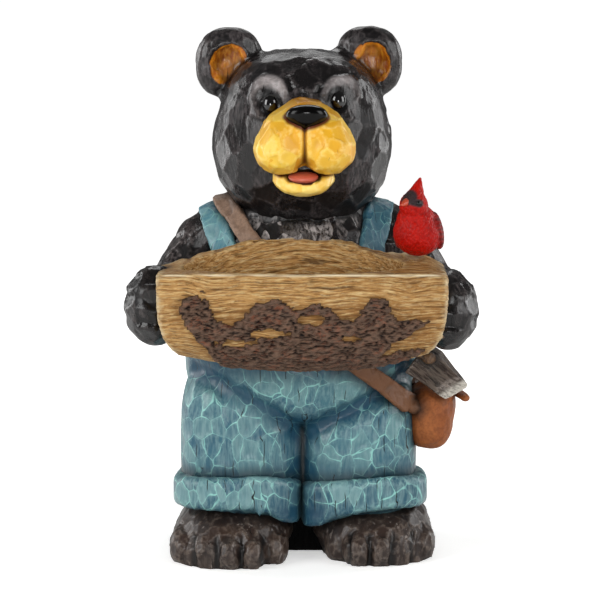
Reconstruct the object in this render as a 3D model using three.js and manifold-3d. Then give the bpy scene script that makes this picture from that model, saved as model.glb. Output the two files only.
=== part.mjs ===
// A carved-look bear in dungarees that holds a half-log bird bath, with a red cardinal on the log.
// Millimetres, +Z up. The bear faces -Y and stands on Z = 0; the origin is on the floor between its feet.
import * as THREE from 'three';
import { mergeVertices } from 'three/addons/utils/BufferGeometryUtils.js';
import Module from 'manifold-3d';

const wasm = await Module();
wasm.setup();

// ---- driving dimensions ----
const CHISEL = 0.9;            // how far a carved facet's corner strays from the true surface
const FIT_GAP = 0.35;          // clearance between two pieces that touch
const CLOTH = 4.5;             // how far a layer of cloth or leather stands off what it covers
const FACE_X = 2.4;            // the face is carved slightly to one side

const HEAD = { centre: [-1, -8, 411], radii: [89.5, 80, 89] };
const EAR_RADII = [34.5, 17, 35.5];
const EARS = [[-72, 3, 486], [65.5, 3, 488.5]];
const EYE_RADII = [7.7, 6, 9];
const EYES = [[-31.6, -75, 454.7], [36.4, -75, 457.6]];
const SOCKET = { y: -92.5, radii: [18, 18, 18] };
const NOSE = { centre: [FACE_X + 2, -122, 445.5], radii: [20.5, 14, 10.5] };

const TORSO = { centre: [-2, 2, 268], radii: [100, 78, 92], fullness: 2.3 };
const BELLY = { centre: [-3, -4, 192], radii: [115, 86, 76], fullness: 2.15 };
const NECK = { centre: [-1, 2, 342], radii: [74, 58, 24] };
const SHOULDER_Z = 313;
const ELBOW_Z = 264;
const FIST_RADII = [28.5, 36, 38];
const FISTS = [{ x: -140, z: 264 }, { x: 139, z: 260 }];

const LEG_TOP = 196;
const LEGS = [{ x: -60, half: 61 }, { x: 56, half: 58 }];
const LEG_DEPTH = 74;
const CUFF_HEIGHT = 35;
const CUFFS = [
  { x: -63.5, half: 64.5, low: 41, lean: 0.01 },
  { x: 61, half: 63.5, low: 41, lean: 0.06 },
];
const CUFF_DEPTH = 82;
const CUFF_RISE = 0.13;        // a cuff rides up over the instep

const FEET = [
  { x: -69.5, y: -18, tipX: [-116, -96, -71, -48.5, -27.5], tipY: [-86, -100, -110, -109, -89] },
  { x: 69, y: -12, tipX: [117.5, 100, 75, 54, 32], tipY: [-68, -84, -99, -101, -87] },
];
const GUSSET = { centre: [-1, -4, 104], radii: [26, 36, 60] };
const WEB = { low: [-24, -26, 0], high: [26, 40, 62] };
const FOOT_RADII = [63.5, 73, 48];
const TOE_RADII = [14.2, 33, 25.5];

const POUCH = { centre: [128, -14, 136], radii: [26.5, 38.5, 34.5] };
const AXE_THICK = 26;
const AXE_END = [124, -68, 204];

const LOG = { half: 136, centreY: -124, width: 94, low: 206, frontRim: 300, backRim: 324, fullness: 2.5 };
const BARK = 4;                // how far the bark stands proud of the bare wood
const BASIN = { centre: [-8, -125, 304], radii: [96, 37, 60] };
const PERCH = { from: 87, height: 310 };
const BARK_ROOM = { low: [-115, -200, 190], high: [128, -108, 285] };
const END_TUCK = 30;           // how much shorter the log's ends are at the bottom than at the rim

const BIRD_BODY = { centre: [111, -114, 332], radii: [22.5, 23.5, 23.5] };
const BIRD_HEAD = { centre: [105.5, -122, 359], radii: [13.5, 14, 14.5] };

// ---- small tools ----

// A repeatable value between -1 and 1 for each place, for the irregular corners of carved facets.
function stray(point) {
  const wave = Math.sin(point.x * 12.9898 + point.y * 78.233 + point.z * 37.719) * 43758.5453;
  return 2 * (wave - Math.floor(wave)) - 1;
}

// One closed geometry without normals, with its shared corners merged.
function closed(geometry) {
  geometry.deleteAttribute('normal');
  geometry.deleteAttribute('uv');
  return mergeVertices(geometry, 1e-4);
}

// Moves each corner of a geometry by a function that changes the vector it is given.
function shape(geometry, move) {
  const places = geometry.attributes.position;
  const point = new THREE.Vector3();
  for (let i = 0; i < places.count; i += 1) {
    point.fromBufferAttribute(places, i);
    move(point);
    places.setXYZ(i, point.x, point.y, point.z);
  }
  return geometry;
}

function solid(geometry) {
  const bare = closed(geometry);
  const mesh = new wasm.Mesh({
    numProp: 3,
    vertProperties: new Float32Array(bare.attributes.position.array),
    triVerts: new Uint32Array(bare.index.array),
  });
  return new wasm.Manifold(mesh);
}

function union(solids) {
  return solids.reduce((all, next) => all.add(next));
}

// A carved rounded body. A fullness above 2 is squarer than an ellipsoid, and may change with height.
function blob({ centre, radii, fullness = 2, detail, turn = [0, 0, 0], chisel = CHISEL, grow = 0, form }) {
  const geometry = closed(new THREE.IcosahedronGeometry(1, detail));
  const way = new THREE.Euler(...turn);
  shape(geometry, (point) => {
    const full = typeof fullness === 'function' ? fullness(point.z) : fullness;
    const sum = Math.abs(point.x) ** full + Math.abs(point.y) ** full + Math.abs(point.z) ** full;
    point.multiplyScalar(sum ** (-1 / full));
    if (form) form(point);
    const outward = point.clone().normalize();
    point.set(point.x * radii[0], point.y * radii[1], point.z * radii[2]);
    point.addScaledVector(outward, grow + chisel * stray(point));
    point.applyEuler(way);
    point.add(new THREE.Vector3(...centre));
  });
  return solid(geometry);
}

// A limb along a smooth path, round in section, with a radius at each point of the path.
function limb({ path, radii, around = 8, along = 4, chisel = CHISEL, flat = 1, grow = 0 }) {
  const curve = new THREE.CatmullRomCurve3(path.map((place) => new THREE.Vector3(...place)));
  const geometry = closed(new THREE.CapsuleGeometry(1, 2, 2, around, along));
  const up = new THREE.Vector3(0, 0, 1);
  shape(geometry, (point) => {
    const straight = THREE.MathUtils.clamp(point.y, -1, 1);
    const share = (straight + 1) / 2;
    const tangent = curve.getTangent(share);
    const side = new THREE.Vector3().crossVectors(tangent, up).normalize();
    const other = new THREE.Vector3().crossVectors(side, tangent);
    const step = share * (radii.length - 1);
    const index = Math.min(Math.floor(step), radii.length - 2);
    const radius = THREE.MathUtils.lerp(radii[index], radii[index + 1], step - index) + grow;
    const reach = radius + chisel * stray(point);
    const offset = side.multiplyScalar(point.x * reach);
    offset.addScaledVector(other, point.z * reach * flat);
    offset.addScaledVector(tangent, (point.y - straight) * radius);
    point.copy(curve.getPoint(share)).add(offset);
  });
  return solid(geometry);
}

// A closed outline in the X-Z plane, carried along Y from front to back.
function prism(outline, front, back) {
  const drawn = new THREE.Shape(outline.map(([x, z]) => new THREE.Vector2(x, z)));
  const geometry = new THREE.ExtrudeGeometry(drawn, { depth: back - front, bevelEnabled: false });
  geometry.rotateX(Math.PI / 2);
  geometry.translate(0, back, 0);
  return solid(geometry);
}

// A straight band of even width in the X-Z plane, carried along Y.
function band(start, end, width, front, back) {
  const along = new THREE.Vector2(end[0] - start[0], end[1] - start[1]).normalize();
  const across = [-along.y * width / 2, along.x * width / 2];
  const outline = [
    [start[0] - across[0], start[1] - across[1]],
    [end[0] - across[0], end[1] - across[1]],
    [end[0] + across[0], end[1] + across[1]],
    [start[0] + across[0], start[1] + across[1]],
  ];
  return prism(outline, front, back);
}

function box(low, high) {
  const size = high.map((value, axis) => value - low[axis]);
  const geometry = new THREE.BoxGeometry(...size);
  geometry.translate(low[0] + size[0] / 2, low[1] + size[1] / 2, low[2] + size[2] / 2);
  return solid(geometry);
}

// ---- the bear ----

function ear(centre, side) {
  const disc = blob({ centre, radii: EAR_RADII, fullness: 2.2, detail: 2, turn: [0.1, 0, side * -0.12] });
  const dish = blob({
    centre: [centre[0] - side * 3, centre[1] - 21, centre[2] - 4],
    radii: [23, 13, 24],
    detail: 1,
    chisel: 0.5,
  });
  return disc.subtract(dish);
}

function muzzle() {
  const bridge = blob({ centre: [FACE_X, -86, 423], radii: [43, 46, 40], detail: 2 });
  const lobes = [-1, 1].map((side) => blob({
    centre: [FACE_X + side * 22.5, -98, 412.5],
    radii: [27, 38, 24],
    fullness: 2.2,
    detail: 2,
    turn: [0, side * -0.12, side * 0.12],
  }));
  const cleft = blob({ centre: [FACE_X, -137, 411], radii: [3.4, 15, 29], detail: 1, chisel: 0 });
  return union([bridge, ...lobes]).subtract(cleft);
}

// The lower lip is a shelf below the lobes, with the tongue lying in the open mouth.
function jaw() {
  const lip = blob({ centre: [FACE_X + 1.5, -68, 379.5], radii: [33, 47, 17.5], detail: 1 });
  const mouth = blob({ centre: [FACE_X + 1.5, -112, 389], radii: [24, 19, 9.5], detail: 1, chisel: 0 });
  const tongue = blob({ centre: [FACE_X + 1.5, -94, 380], radii: [17, 16, 5.5], detail: 1, chisel: 0.2 });
  return lip.subtract(mouth).add(tongue);
}

function nose() {
  const pointed = (point) => {
    if (point.z < 0) point.x *= 1 + 0.45 * point.z;
  };
  return blob({ ...NOSE, fullness: 2.3, detail: 1, chisel: 0, form: pointed });
}

function head() {
  const flatCrown = (point) => {
    if (point.z > 0) point.x *= 1 - 0.11 * point.z;
    if (point.z < 0) point.z *= 0.96;
  };
  const fullness = (lift) => 2.25 + 0.8 * Math.max(lift, 0);
  const skull = blob({ ...HEAD, fullness, detail: 4, form: flatCrown });
  const sockets = EYES.map(([x, , z]) => {
    const centre = [x, SOCKET.y, z];
    return blob({ centre, radii: SOCKET.radii, detail: 1, chisel: 0 });
  });
  const eyes = EYES.map((centre) => blob({ centre, radii: EYE_RADII, detail: 1, chisel: 0 }));
  const hollowed = sockets.reduce((all, socket) => all.subtract(socket), skull);
  const ears = EARS.map((centre, index) => ear(centre, index === 0 ? -1 : 1));
  return union([hollowed, ...eyes, ...ears, muzzle(), nose(), jaw()]);
}

function arm({ x, z }) {
  const side = Math.sign(x);
  const upper = limb({
    path: [[side * 77, 2, SHOULDER_Z], [side * 101, 0, 290], [side * 116, -22, ELBOW_Z]],
    radii: [37, 38, 35],
    along: 3,
  });
  const fore = limb({
    path: [[side * 116, -20, ELBOW_Z], [side * 131, -60, 258], [x - side * 2, -104, z]],
    radii: [35, 33, 31],
    along: 3,
  });
  const fingers = (point) => {
    const swell = 1 + 0.045 * Math.cos(point.z * 2 * Math.PI * 2);
    if (point.y < 0.3) point.set(point.x * swell, point.y * swell, point.z);
  };
  const fist = blob({ centre: [x, -120, z], radii: FIST_RADII, fullness: 2.05, detail: 3, form: fingers });
  return union([upper, fore, fist]);
}

// The upper body without its arms' ends, grown outward to carry cloth and straps.
function trunk(grow, detail) {
  const shoulders = [-1, 1].map((side) => limb({
    path: [[side * 60, 1, SHOULDER_Z - 2], [side * 78, 1, SHOULDER_Z - 1], [side * 90, 0, 302]],
    radii: [38, 38, 38],
    along: 2,
    grow,
  }));
  const neck = blob({ ...NECK, detail: 1 });
  const chest = blob({ ...TORSO, detail, grow });
  const belly = blob({ ...BELLY, detail, grow });
  return union([chest, belly, neck, ...shoulders]);
}

function legs(grow = 0) {
  const middle = LEG_TOP / 2 + 12;
  const columns = LEGS.map(({ x, half }) => blob({
    centre: [x, -2, middle],
    radii: [half, LEG_DEPTH, LEG_TOP - middle],
    fullness: 3.2,
    detail: 3,
    grow,
  }));
  const gusset = blob({ ...GUSSET, detail: 1 });
  return union([...columns, gusset]);
}

function cuff({ x, half, low, lean }) {
  const round = 7;
  const profile = [[0, 0], [0.86, 0], [0.97, round * 0.4], [1, round], [1, CUFF_HEIGHT - round]];
  profile.push([0.97, CUFF_HEIGHT - round * 0.4], [0.86, CUFF_HEIGHT], [0, CUFF_HEIGHT]);
  const geometry = new THREE.LatheGeometry(profile.map((pair) => new THREE.Vector2(...pair)), 16);
  geometry.rotateX(Math.PI / 2);
  const ring = closed(geometry);
  shape(ring, (point) => {
    const fullness = 3.6;
    const reach = Math.hypot(point.x, point.y);
    if (reach > 0) {
      const sum = Math.abs(point.x / reach) ** fullness + Math.abs(point.y / reach) ** fullness;
      point.x *= sum ** (-1 / fullness);
      point.y *= sum ** (-1 / fullness);
    }
    const bump = reach * CHISEL * stray(point);
    point.set(point.x * half + bump, point.y * CUFF_DEPTH - 4, point.z + low);
    point.z += -CUFF_RISE * point.y + lean * point.x;
    point.x += x;
  });
  return solid(ring);
}

function foot({ x, y, tipX, tipY }) {
  const slope = (point) => {
    if (point.y < 0) point.z *= 1 + 0.22 * point.y;
  };
  const sole = blob({ centre: [x, y, 10], radii: FOOT_RADII, fullness: 2.4, detail: 2, form: slope });
  const toes = tipX.map((across, index) => blob({
    centre: [across, tipY[index] + TOE_RADII[1], 15],
    radii: TOE_RADII,
    fullness: 3.4,
    detail: 1,
    chisel: 0.5,
  }));
  return union([sole, ...toes]);
}

// Dungarees above the legs: the waist all round, a bib in front and behind, and two straps.
function dungarees() {
  const cloth = trunk(CLOTH, 3);
  const far = 120;
  const waist = prism([[-far, 120], [far, 120], [far, 262], [-far, 262]], -far, far);
  const bib = prism([[-62, 255], [58, 255], [54, 304], [-58, 304]], -far, 0);
  const back = prism([[-66, 255], [62, 255], [34, 292], [-38, 292]], 0, far);
  const straps = [
    band([-60, 292], [-96, 368], 23, -far, 2),
    band([54, 292], [84, 368], 24, -far, 2),
    band([-101, 368], [12, 262], 23, 0, far),
    band([94, 368], [-16, 262], 23, 0, far),
  ];
  return cloth.intersect(union([waist, bib, back, ...straps]));
}

// The satchel's strap runs over one shoulder and across the body, front and back, to the far hip.
function satchelStrap() {
  const far = 130;
  const layer = trunk(2 * CLOTH, 3).add(legs(CLOTH));
  const across = [
    band([-90, 370], [62, 200], 20, -far, 4),
    band([50, 214], [118, 152], 22, -far, 4),
    band([-90, 370], [124, 158], 20, 0, far),
  ];
  return layer.intersect(union(across));
}

function satchel() {
  const pouch = blob({ ...POUCH, fullness: 2.6, detail: 1 });
  const flap = limb({
    path: [[156, -50, 161], [154, -20, 161], [141, 14, 156]],
    radii: [6, 6.5, 5],
    around: 6,
    along: 3,
    chisel: 0.4,
  });
  return union([pouch, flap]);
}

// The axe: a wedge of iron on a handle that runs back along the hip, over the satchel.
function axe() {
  const outline = [[0, -18], [22, -12], [55, -13], [57, 0], [54, 12], [22, 14], [0, 18]];
  const drawn = new THREE.Shape(outline.map((pair) => new THREE.Vector2(...pair)));
  const geometry = new THREE.ExtrudeGeometry(drawn, { depth: AXE_THICK, bevelEnabled: false });
  geometry.translate(0, 0, -AXE_THICK / 2);
  const iron = closed(geometry);
  shape(iron, (point) => {
    point.z *= THREE.MathUtils.lerp(1, 0.16, point.x / 60);
  });
  iron.rotateX(Math.PI / 2);
  iron.rotateY(THREE.MathUtils.degToRad(35));
  iron.rotateZ(THREE.MathUtils.degToRad(-12));
  iron.translate(113, -56, 198);
  const handle = limb({
    path: [AXE_END, [124, -30, 192], [122, 20, 172], [118, 56, 158]],
    radii: [6.5, 6.5, 6.5, 7],
    around: 6,
    along: 3,
    chisel: 0.4,
  });
  const knob = blob({ centre: AXE_END, radii: [8, 8, 7], detail: 1, chisel: 0.3 });
  return union([solid(iron), handle, knob]);
}

function bear() {
  const arms = FISTS.map(arm);
  const web = box(WEB.low, WEB.high);
  const parts = [head(), trunk(0, 3), ...arms, legs(), ...CUFFS.map(cuff), ...FEET.map(foot), web];
  parts.push(dungarees(), satchelStrap(), satchel(), axe());
  const floor = box([-300, -300, -200], [300, 300, 0]);
  const barkRoom = logBody(BARK + FIT_GAP).intersect(box(BARK_ROOM.low, BARK_ROOM.high));
  return union(parts).subtract(floor).subtract(logBody(FIT_GAP)).subtract(barkRoom);
}

// ---- the half-log bath ----

// Height of the log's split top at its back edge: high in the middle, a level perch near one end.
function backEdge(x) {
  const { lerp, clamp } = THREE.MathUtils;
  const left = lerp(301, LOG.backRim, clamp((x + 116) / 52, 0, 1));
  const right = lerp(LOG.backRim, PERCH.height, clamp((x - 52) / (PERCH.from - 52), 0, 1));
  return x < 0 ? left : right;
}

// How far the log reaches from its middle at a height: its ends are sawn slanting and rounded below.
function endReach(height) {
  const below = THREE.MathUtils.clamp((285 - height) / (285 - LOG.low), 0, 1);
  const above = 1.15 * Math.max(height - 298, 0);
  return LOG.half - END_TUCK * below ** 2.6 - above;
}

// The round outside of the log, closed by its split top and grown outward by a clearance.
function logBody(grow) {
  const { lerp, clamp } = THREE.MathUtils;
  const geometry = closed(new THREE.CylinderGeometry(1, 1, 2, 20, 10));
  const belly = (LOG.frontRim - LOG.low) * 0.62;
  const middle = LOG.low + belly;
  shape(geometry, (point) => {
    const round = Math.hypot(point.x, point.z);
    let across = -point.x;
    let lift = point.z;
    if (round > 0) {
      const sum = Math.abs(across / round) ** LOG.fullness + Math.abs(lift / round) ** LOG.fullness;
      across *= sum ** (-1 / LOG.fullness);
      lift *= sum ** (-1 / LOG.fullness);
    }
    const share = clamp(across / 2 + 0.5, 0, 1);
    const top = lerp(LOG.frontRim, backEdge(point.y * LOG.half), share);
    const tight = clamp(Math.abs(across) * 0.35 + lift * 1.2, 0, 1);
    const height = lift > 0 ? lerp(middle, top, tight) : middle + lift * belly;
    const swell = lift > 0 ? tight * grow : lift * grow;
    point.x = point.y * (endReach(height) + grow);
    point.y = LOG.centreY + across * (LOG.width / 2 + grow);
    point.z = height + swell;
  });
  return solid(geometry);
}

// A patch of rough bark left low on the front of the log, standing a few millimetres proud.
function bark() {
  const edge = [
    [-112, 268], [-104, 281], [-90, 280], [-84, 262], [-66, 250], [-50, 264], [-36, 274], [-12, 272],
    [4, 264], [24, 268], [44, 254], [58, 262], [64, 276], [78, 277], [84, 258], [104, 262], [126, 258],
    [106, 240], [84, 222], [60, 208], [20, 200], [-40, 200], [-78, 212], [-96, 236],
  ];
  const curve = new THREE.SplineCurve([...edge, edge[0]].map((pair) => new THREE.Vector2(...pair)));
  const outline = curve.getPoints(34).slice(0, -1).map((point) => [point.x, point.y]);
  return logBody(BARK).intersect(prism(outline, -200, LOG.centreY + 8));
}

function logTrough() {
  const hollow = blob({ ...BASIN, fullness: 2.8, detail: 2, chisel: 0.5 });
  return logBody(0).add(bark()).subtract(hollow);
}

// ---- the cardinal ----

function cardinal() {
  const breast = (point) => {
    const lift = Math.max(point.z, 0);
    point.x = point.x * (1 - 0.2 * lift) - 0.12 * lift;
    point.y -= 0.1 * lift;
    point.z += 0.12 * lift;
  };
  const body = blob({ ...BIRD_BODY, detail: 2, chisel: 0.4, form: breast });
  const skull = blob({ ...BIRD_HEAD, detail: 1, chisel: 0.3 });
  const crest = limb({
    path: [[106, -122, 364], [108.5, -120, 374], [111.5, -117, 384.5]],
    radii: [11, 7, 1.6],
    around: 7,
    along: 4,
    chisel: 0.2,
  });
  const beak = limb({
    path: [[101, -129, 358], [97, -134, 357.5], [93.5, -138, 356.5]],
    radii: [5.5, 4.2, 1.2],
    around: 6,
    along: 2,
    chisel: 0,
  });
  const wings = [[128, -108, 337, -0.35], [97, -101, 334, 0.5]].map(([x, y, z, turn]) => blob({
    centre: [x, y, z],
    radii: [7, 18, 17],
    detail: 1,
    turn: [0.25, 0, turn],
    chisel: 0.3,
  }));
  const tail = limb({
    path: [[114, -100, 326], [119, -92, 322], [124, -86, 319]],
    radii: [11, 8.5, 7],
    around: 6,
    along: 2,
    flat: 0.5,
    chisel: 0.2,
  });
  const under = box([60, -200, 250], [180, -40, PERCH.height + FIT_GAP]);
  return union([body, skull, crest, beak, ...wings, tail]).subtract(under).subtract(logBody(FIT_GAP));
}

// ---- the scene graph ----

function finish(color, roughness) {
  return new THREE.MeshStandardMaterial({ color, roughness, metalness: 0, flatShading: true });
}

function mesh(name, form, material) {
  const { vertProperties, triVerts } = form.getMesh();
  const geometry = new THREE.BufferGeometry();
  geometry.setAttribute('position', new THREE.BufferAttribute(vertProperties, 3));
  geometry.setIndex(new THREE.BufferAttribute(triVerts, 1));
  geometry.computeVertexNormals();
  const made = new THREE.Mesh(geometry, material);
  made.name = name;
  return made;
}

const statue = new THREE.Group();
statue.add(mesh('bear', bear(), finish(0x2c292a, 0.4)));
statue.add(mesh('log_trough', logTrough(), finish(0xa57b42, 0.6)));
statue.add(mesh('cardinal', cardinal(), finish(0xb6150a, 0.5)));

export default statue;
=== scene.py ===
# A resin bear in dungarees, carved as if from wood, that holds a half-log bird bath with a red cardinal.
# Built in metres from sizes given in millimetres, +Z up. The bear faces -Y and stands on Z = 0.
import math

import bpy
import numpy as np
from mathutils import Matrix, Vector
from mathutils.bvhtree import BVHTree


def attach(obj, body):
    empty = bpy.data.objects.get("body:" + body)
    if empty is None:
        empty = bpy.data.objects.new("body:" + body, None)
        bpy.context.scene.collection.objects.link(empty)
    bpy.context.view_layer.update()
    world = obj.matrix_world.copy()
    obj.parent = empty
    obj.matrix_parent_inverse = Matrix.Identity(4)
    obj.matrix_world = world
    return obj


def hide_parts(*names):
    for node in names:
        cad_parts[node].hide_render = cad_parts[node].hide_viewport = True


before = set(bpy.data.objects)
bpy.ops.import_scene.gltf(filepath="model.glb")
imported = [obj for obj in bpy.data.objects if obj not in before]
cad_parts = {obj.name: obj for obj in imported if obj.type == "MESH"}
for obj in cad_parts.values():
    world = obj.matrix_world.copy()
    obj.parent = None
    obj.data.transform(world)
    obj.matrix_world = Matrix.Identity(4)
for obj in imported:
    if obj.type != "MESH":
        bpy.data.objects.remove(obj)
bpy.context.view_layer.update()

MM = 0.001


# ---- workshop: shaping ----

def deselect():
    bpy.ops.object.select_all(action="DESELECT")


def pick(*pieces):
    deselect()
    for piece in pieces:
        piece.select_set(True)
    bpy.context.view_layer.objects.active = pieces[0]


def settle(piece):
    """Leaves the piece's place in its mesh."""
    pick(piece)
    bpy.ops.object.transform_apply(location=True, rotation=True, scale=True)
    return piece


def apply(piece, kind, **settings):
    """Adds one modifier and applies it."""
    pick(piece)
    modifier = piece.modifiers.new(kind.title(), kind)
    for key, value in settings.items():
        setattr(modifier, key, value)
    bpy.ops.object.modifier_apply(modifier=modifier.name)
    return piece


def points(piece):
    """The piece's corners in millimetres, as rows."""
    flat = np.empty(len(piece.data.vertices) * 3, np.float32)
    piece.data.vertices.foreach_get("co", flat)
    return flat.reshape(-1, 3).astype(float) / MM


def set_points(piece, rows):
    piece.data.vertices.foreach_set("co", (rows * MM).astype(np.float32).ravel())
    piece.data.update()


def normals(piece):
    flat = np.empty(len(piece.data.vertices) * 3, np.float32)
    piece.data.vertex_normals.foreach_get("vector", flat)
    return flat.reshape(-1, 3).astype(float)


def raise_skin(piece, height):
    """Moves each corner out along its normal by a height in millimetres."""
    set_points(piece, points(piece) + normals(piece) * height[:, None])


def step(value, low, high):
    """A smooth step from 0 at low to 1 at high."""
    share = np.clip((value - low) / (high - low), 0, 1)
    return share * share * (3 - 2 * share)


def bell(gap, width):
    """1 on a line, fading away on both sides."""
    return np.exp(-(gap / width) ** 2)


def ball(centre, radii, full=2.0, turn=(0, 0, 0), form=None, detail=5, name="ball"):
    """A rounded lump. Fullness above 2 is squarer than an ellipsoid; form may shape the unit lump first."""
    deselect()
    bpy.ops.mesh.primitive_ico_sphere_add(
        subdivisions=detail, radius=1, location=Vector(centre) * MM, rotation=turn)
    piece = bpy.context.object
    piece.name = name
    piece.scale = Vector(radii) * MM
    unit = points(piece) * MM
    power = full(unit[:, 2:3]) if callable(full) else full
    unit = unit * (np.abs(unit) ** power).sum(1, keepdims=True) ** (-1 / power)
    if form:
        form(*unit.T)
    set_points(piece, unit / MM)
    return settle(piece)


def limb(path, radii):
    """A round limb along a smooth path, with rounded ends and a radius at each point of the path."""
    curve = bpy.data.curves.new("limb", "CURVE")
    curve.dimensions = "3D"
    curve.bevel_depth = MM
    curve.bevel_resolution = 8
    curve.resolution_u = 12
    curve.use_fill_caps = True
    spline = curve.splines.new("NURBS")
    spline.points.add(len(path) - 1)
    for point, place, radius in zip(spline.points, path, radii):
        point.co = (*(Vector(place) * MM), 1)
        point.radius = radius
    spline.order_u = min(4, len(path))
    spline.use_endpoint_u = True
    piece = bpy.data.objects.new("limb", curve)
    bpy.context.collection.objects.link(piece)
    pick(piece)
    bpy.ops.object.convert(target="MESH")
    caps = [ball(path[end], [radii[end]] * 3, detail=4) for end in (0, -1)]
    return together("limb", [piece, *caps])


def block(low, high, bevel):
    deselect()
    centre = (Vector(low) + Vector(high)) / 2
    bpy.ops.mesh.primitive_cube_add(size=1, location=centre * MM)
    bpy.context.object.scale = (Vector(high) - Vector(low)) * MM
    return apply(settle(bpy.context.object), "BEVEL", width=bevel * MM, segments=3)


def together(name, pieces):
    pick(*pieces)
    if len(pieces) > 1:
        bpy.ops.object.join()
    piece = bpy.context.object
    piece.name = name
    return piece


def cut(piece, tool):
    apply(piece, "BOOLEAN", object=tool, operation="DIFFERENCE", solver="EXACT")
    bpy.data.objects.remove(tool)
    return piece


def smooth(piece, rounds):
    return apply(piece, "SMOOTH", factor=0.5, iterations=rounds)


def weld(name, pieces, grain, soften):
    """Melts overlapping lumps into one skin of a given grain, with its joins softened."""
    piece = together(name, pieces)
    apply(piece, "REMESH", mode="VOXEL", voxel_size=grain * MM)
    return smooth(piece, soften)


def slice_off(piece, spot, way, fill=False):
    """Cuts the piece by a plane and drops the side that way points to."""
    pick(piece)
    bpy.ops.object.mode_set(mode="EDIT")
    bpy.ops.mesh.select_all(action="SELECT")
    bpy.ops.mesh.bisect(plane_co=Vector(spot) * MM, plane_no=way, clear_outer=True, use_fill=fill)
    bpy.ops.object.mode_set(mode="OBJECT")
    return piece


def panel(skin, front, edges):
    """A piece of cloth or leather: a copy of a skin's front or back, cut by planes and thickened inward."""
    pick(skin)
    bpy.ops.object.duplicate()
    piece = bpy.context.object
    for spot, way in [*edges, ((0, 0, 0), (0, 1 if front else -1, 0))]:
        slice_off(piece, spot, way)
    return apply(piece, "SOLIDIFY", thickness=CLOTH_THICKNESS * MM, offset=-1)


def strip(skin, front, start, end, width):
    """A band of a given width, cut from a skin along a line drawn on its front or its back."""
    first, last = [Vector((x, 0, z)) for x, z in (start, end)]
    way = (last - first).normalized()
    across = Vector((-way.z, 0, way.x))
    half = across * width / 2
    return panel(skin, front, [(first + half, across), (first - half, -across), (first, -way), (last, way)])


# ---- workshop: measuring the skin ----

def neighbours_mean(piece, rows, rounds):
    """Averages each corner's values with its neighbours' a number of times."""
    mesh = piece.data
    pairs = np.empty(len(mesh.edges) * 2, np.int32)
    mesh.edges.foreach_get("vertices", pairs)
    one, two = pairs[0::2], pairs[1::2]
    corners = len(rows)
    count = np.maximum(np.bincount(pairs, minlength=corners), 1).astype(float)
    rows = rows.copy()
    for _ in range(rounds):
        for column in rows.T:
            total = np.bincount(one, column[two], corners) + np.bincount(two, column[one], corners)
            column[:] = 0.35 * column + 0.65 * total / count
    return rows


def sleeken(piece, rounds, share):
    """Evens the skin out, as far as the share at each corner says."""
    rows = points(piece)
    set_points(piece, rows + (neighbours_mean(piece, rows, rounds) - rows) * share[:, None])


def sunkness(piece, rounds):
    """How far each corner lies below the skin around it: above 0 in a crease, below 0 on a ridge."""
    here = points(piece)
    return ((neighbours_mean(piece, here, rounds) - here) * normals(piece)).sum(1)


def keep(piece, **masks):
    """Keeps values on the piece's corners, for its relief or its finish to read."""
    for name, values in masks.items():
        layer = piece.data.attributes.new(name, "FLOAT", "POINT")
        layer.data.foreach_set("value", np.asarray(values, np.float32))


def ball_share(rows, centre, radii):
    """How far out each corner lies in an ellipsoid: 0 at its centre, 1 on its skin."""
    return np.sqrt((((rows - centre) / radii) ** 2).sum(1))


def spots(rows, places, far, near, narrow=1.0):
    """1 near to any of the places, seen from the front, and 0 far from them. Spots may be made narrower."""
    x, _, z = rows.T
    return sum(step(np.hypot((x - place[0]) / narrow, z - place[2]), far, near) for place in places)


def line_gap(rows, path):
    """Distance in millimetres, seen from the front, from a drawn line."""
    flat = rows[:, (0, 2)]
    line = np.array(path, float)
    best = np.full(len(flat), 1e9)
    for start, end in zip(line[:-1], line[1:]):
        length = np.hypot(*(end - start))
        way = (end - start) / length
        reach = np.clip((flat - start) @ way, 0, length)
        best = np.minimum(best, np.hypot(*(flat - start - reach[:, None] * way).T))
    return best


def outline_depth(rows, outline):
    """How far inside a closed outline each corner lies, seen from the front; below 0 outside."""
    x, _, z = rows.T
    ring = [*outline, outline[0]]
    odd = np.zeros(len(rows), bool)
    for (x0, z0), (x1, z1) in zip(ring[:-1], ring[1:]):
        crossing = x0 + (z - z0) / ((z1 - z0) or 1) * (x1 - x0)
        odd ^= ((z < z0) != (z < z1)) & (x < crossing)
    return np.where(odd, 1, -1) * line_gap(rows, ring)


# ---- workshop: node trees, for relief and for finishes ----

class Wire:
    """A node's output. A sum or product with a number or another wire adds the node that does it."""

    def __init__(self, tree, socket):
        self.tree = tree
        self.socket = socket
        self.wide = socket.type in ("VECTOR", "RGBA")

    def __add__(self, other):
        return calc("ADD", self, other)

    def __sub__(self, other):
        return calc("SUBTRACT", self, other)

    def __rsub__(self, other):
        return calc("SUBTRACT", other, self)

    def __mul__(self, other):
        single = not (other.wide if isinstance(other, Wire) else isinstance(other, tuple))
        if self.wide and single:
            return put(self.tree, "ShaderNodeVectorMath", {0: self, "Scale": other}, operation="SCALE")[0]
        return calc("MULTIPLY", self, other)

    def __truediv__(self, other):
        return calc("DIVIDE", self, other)

    def __rtruediv__(self, other):
        return calc("DIVIDE", other, self)

    def clamped(self):
        """Keeps this sum or product between 0 and 1."""
        self.socket.node.use_clamp = True
        return self

    def parts(self, kind="XYZ"):
        """The wire of a vector or a colour, split in three."""
        return put(self.tree, "ShaderNodeSeparate" + kind, {0: self})


class Outputs:
    """A node's outputs, as wires, by name or number."""

    def __init__(self, tree, sockets):
        self.tree = tree
        self.sockets = sockets

    def __getitem__(self, key):
        return Wire(self.tree, self.sockets[key])


def lead(wire, socket):
    wire.tree.links.new(wire.socket, socket)


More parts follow.
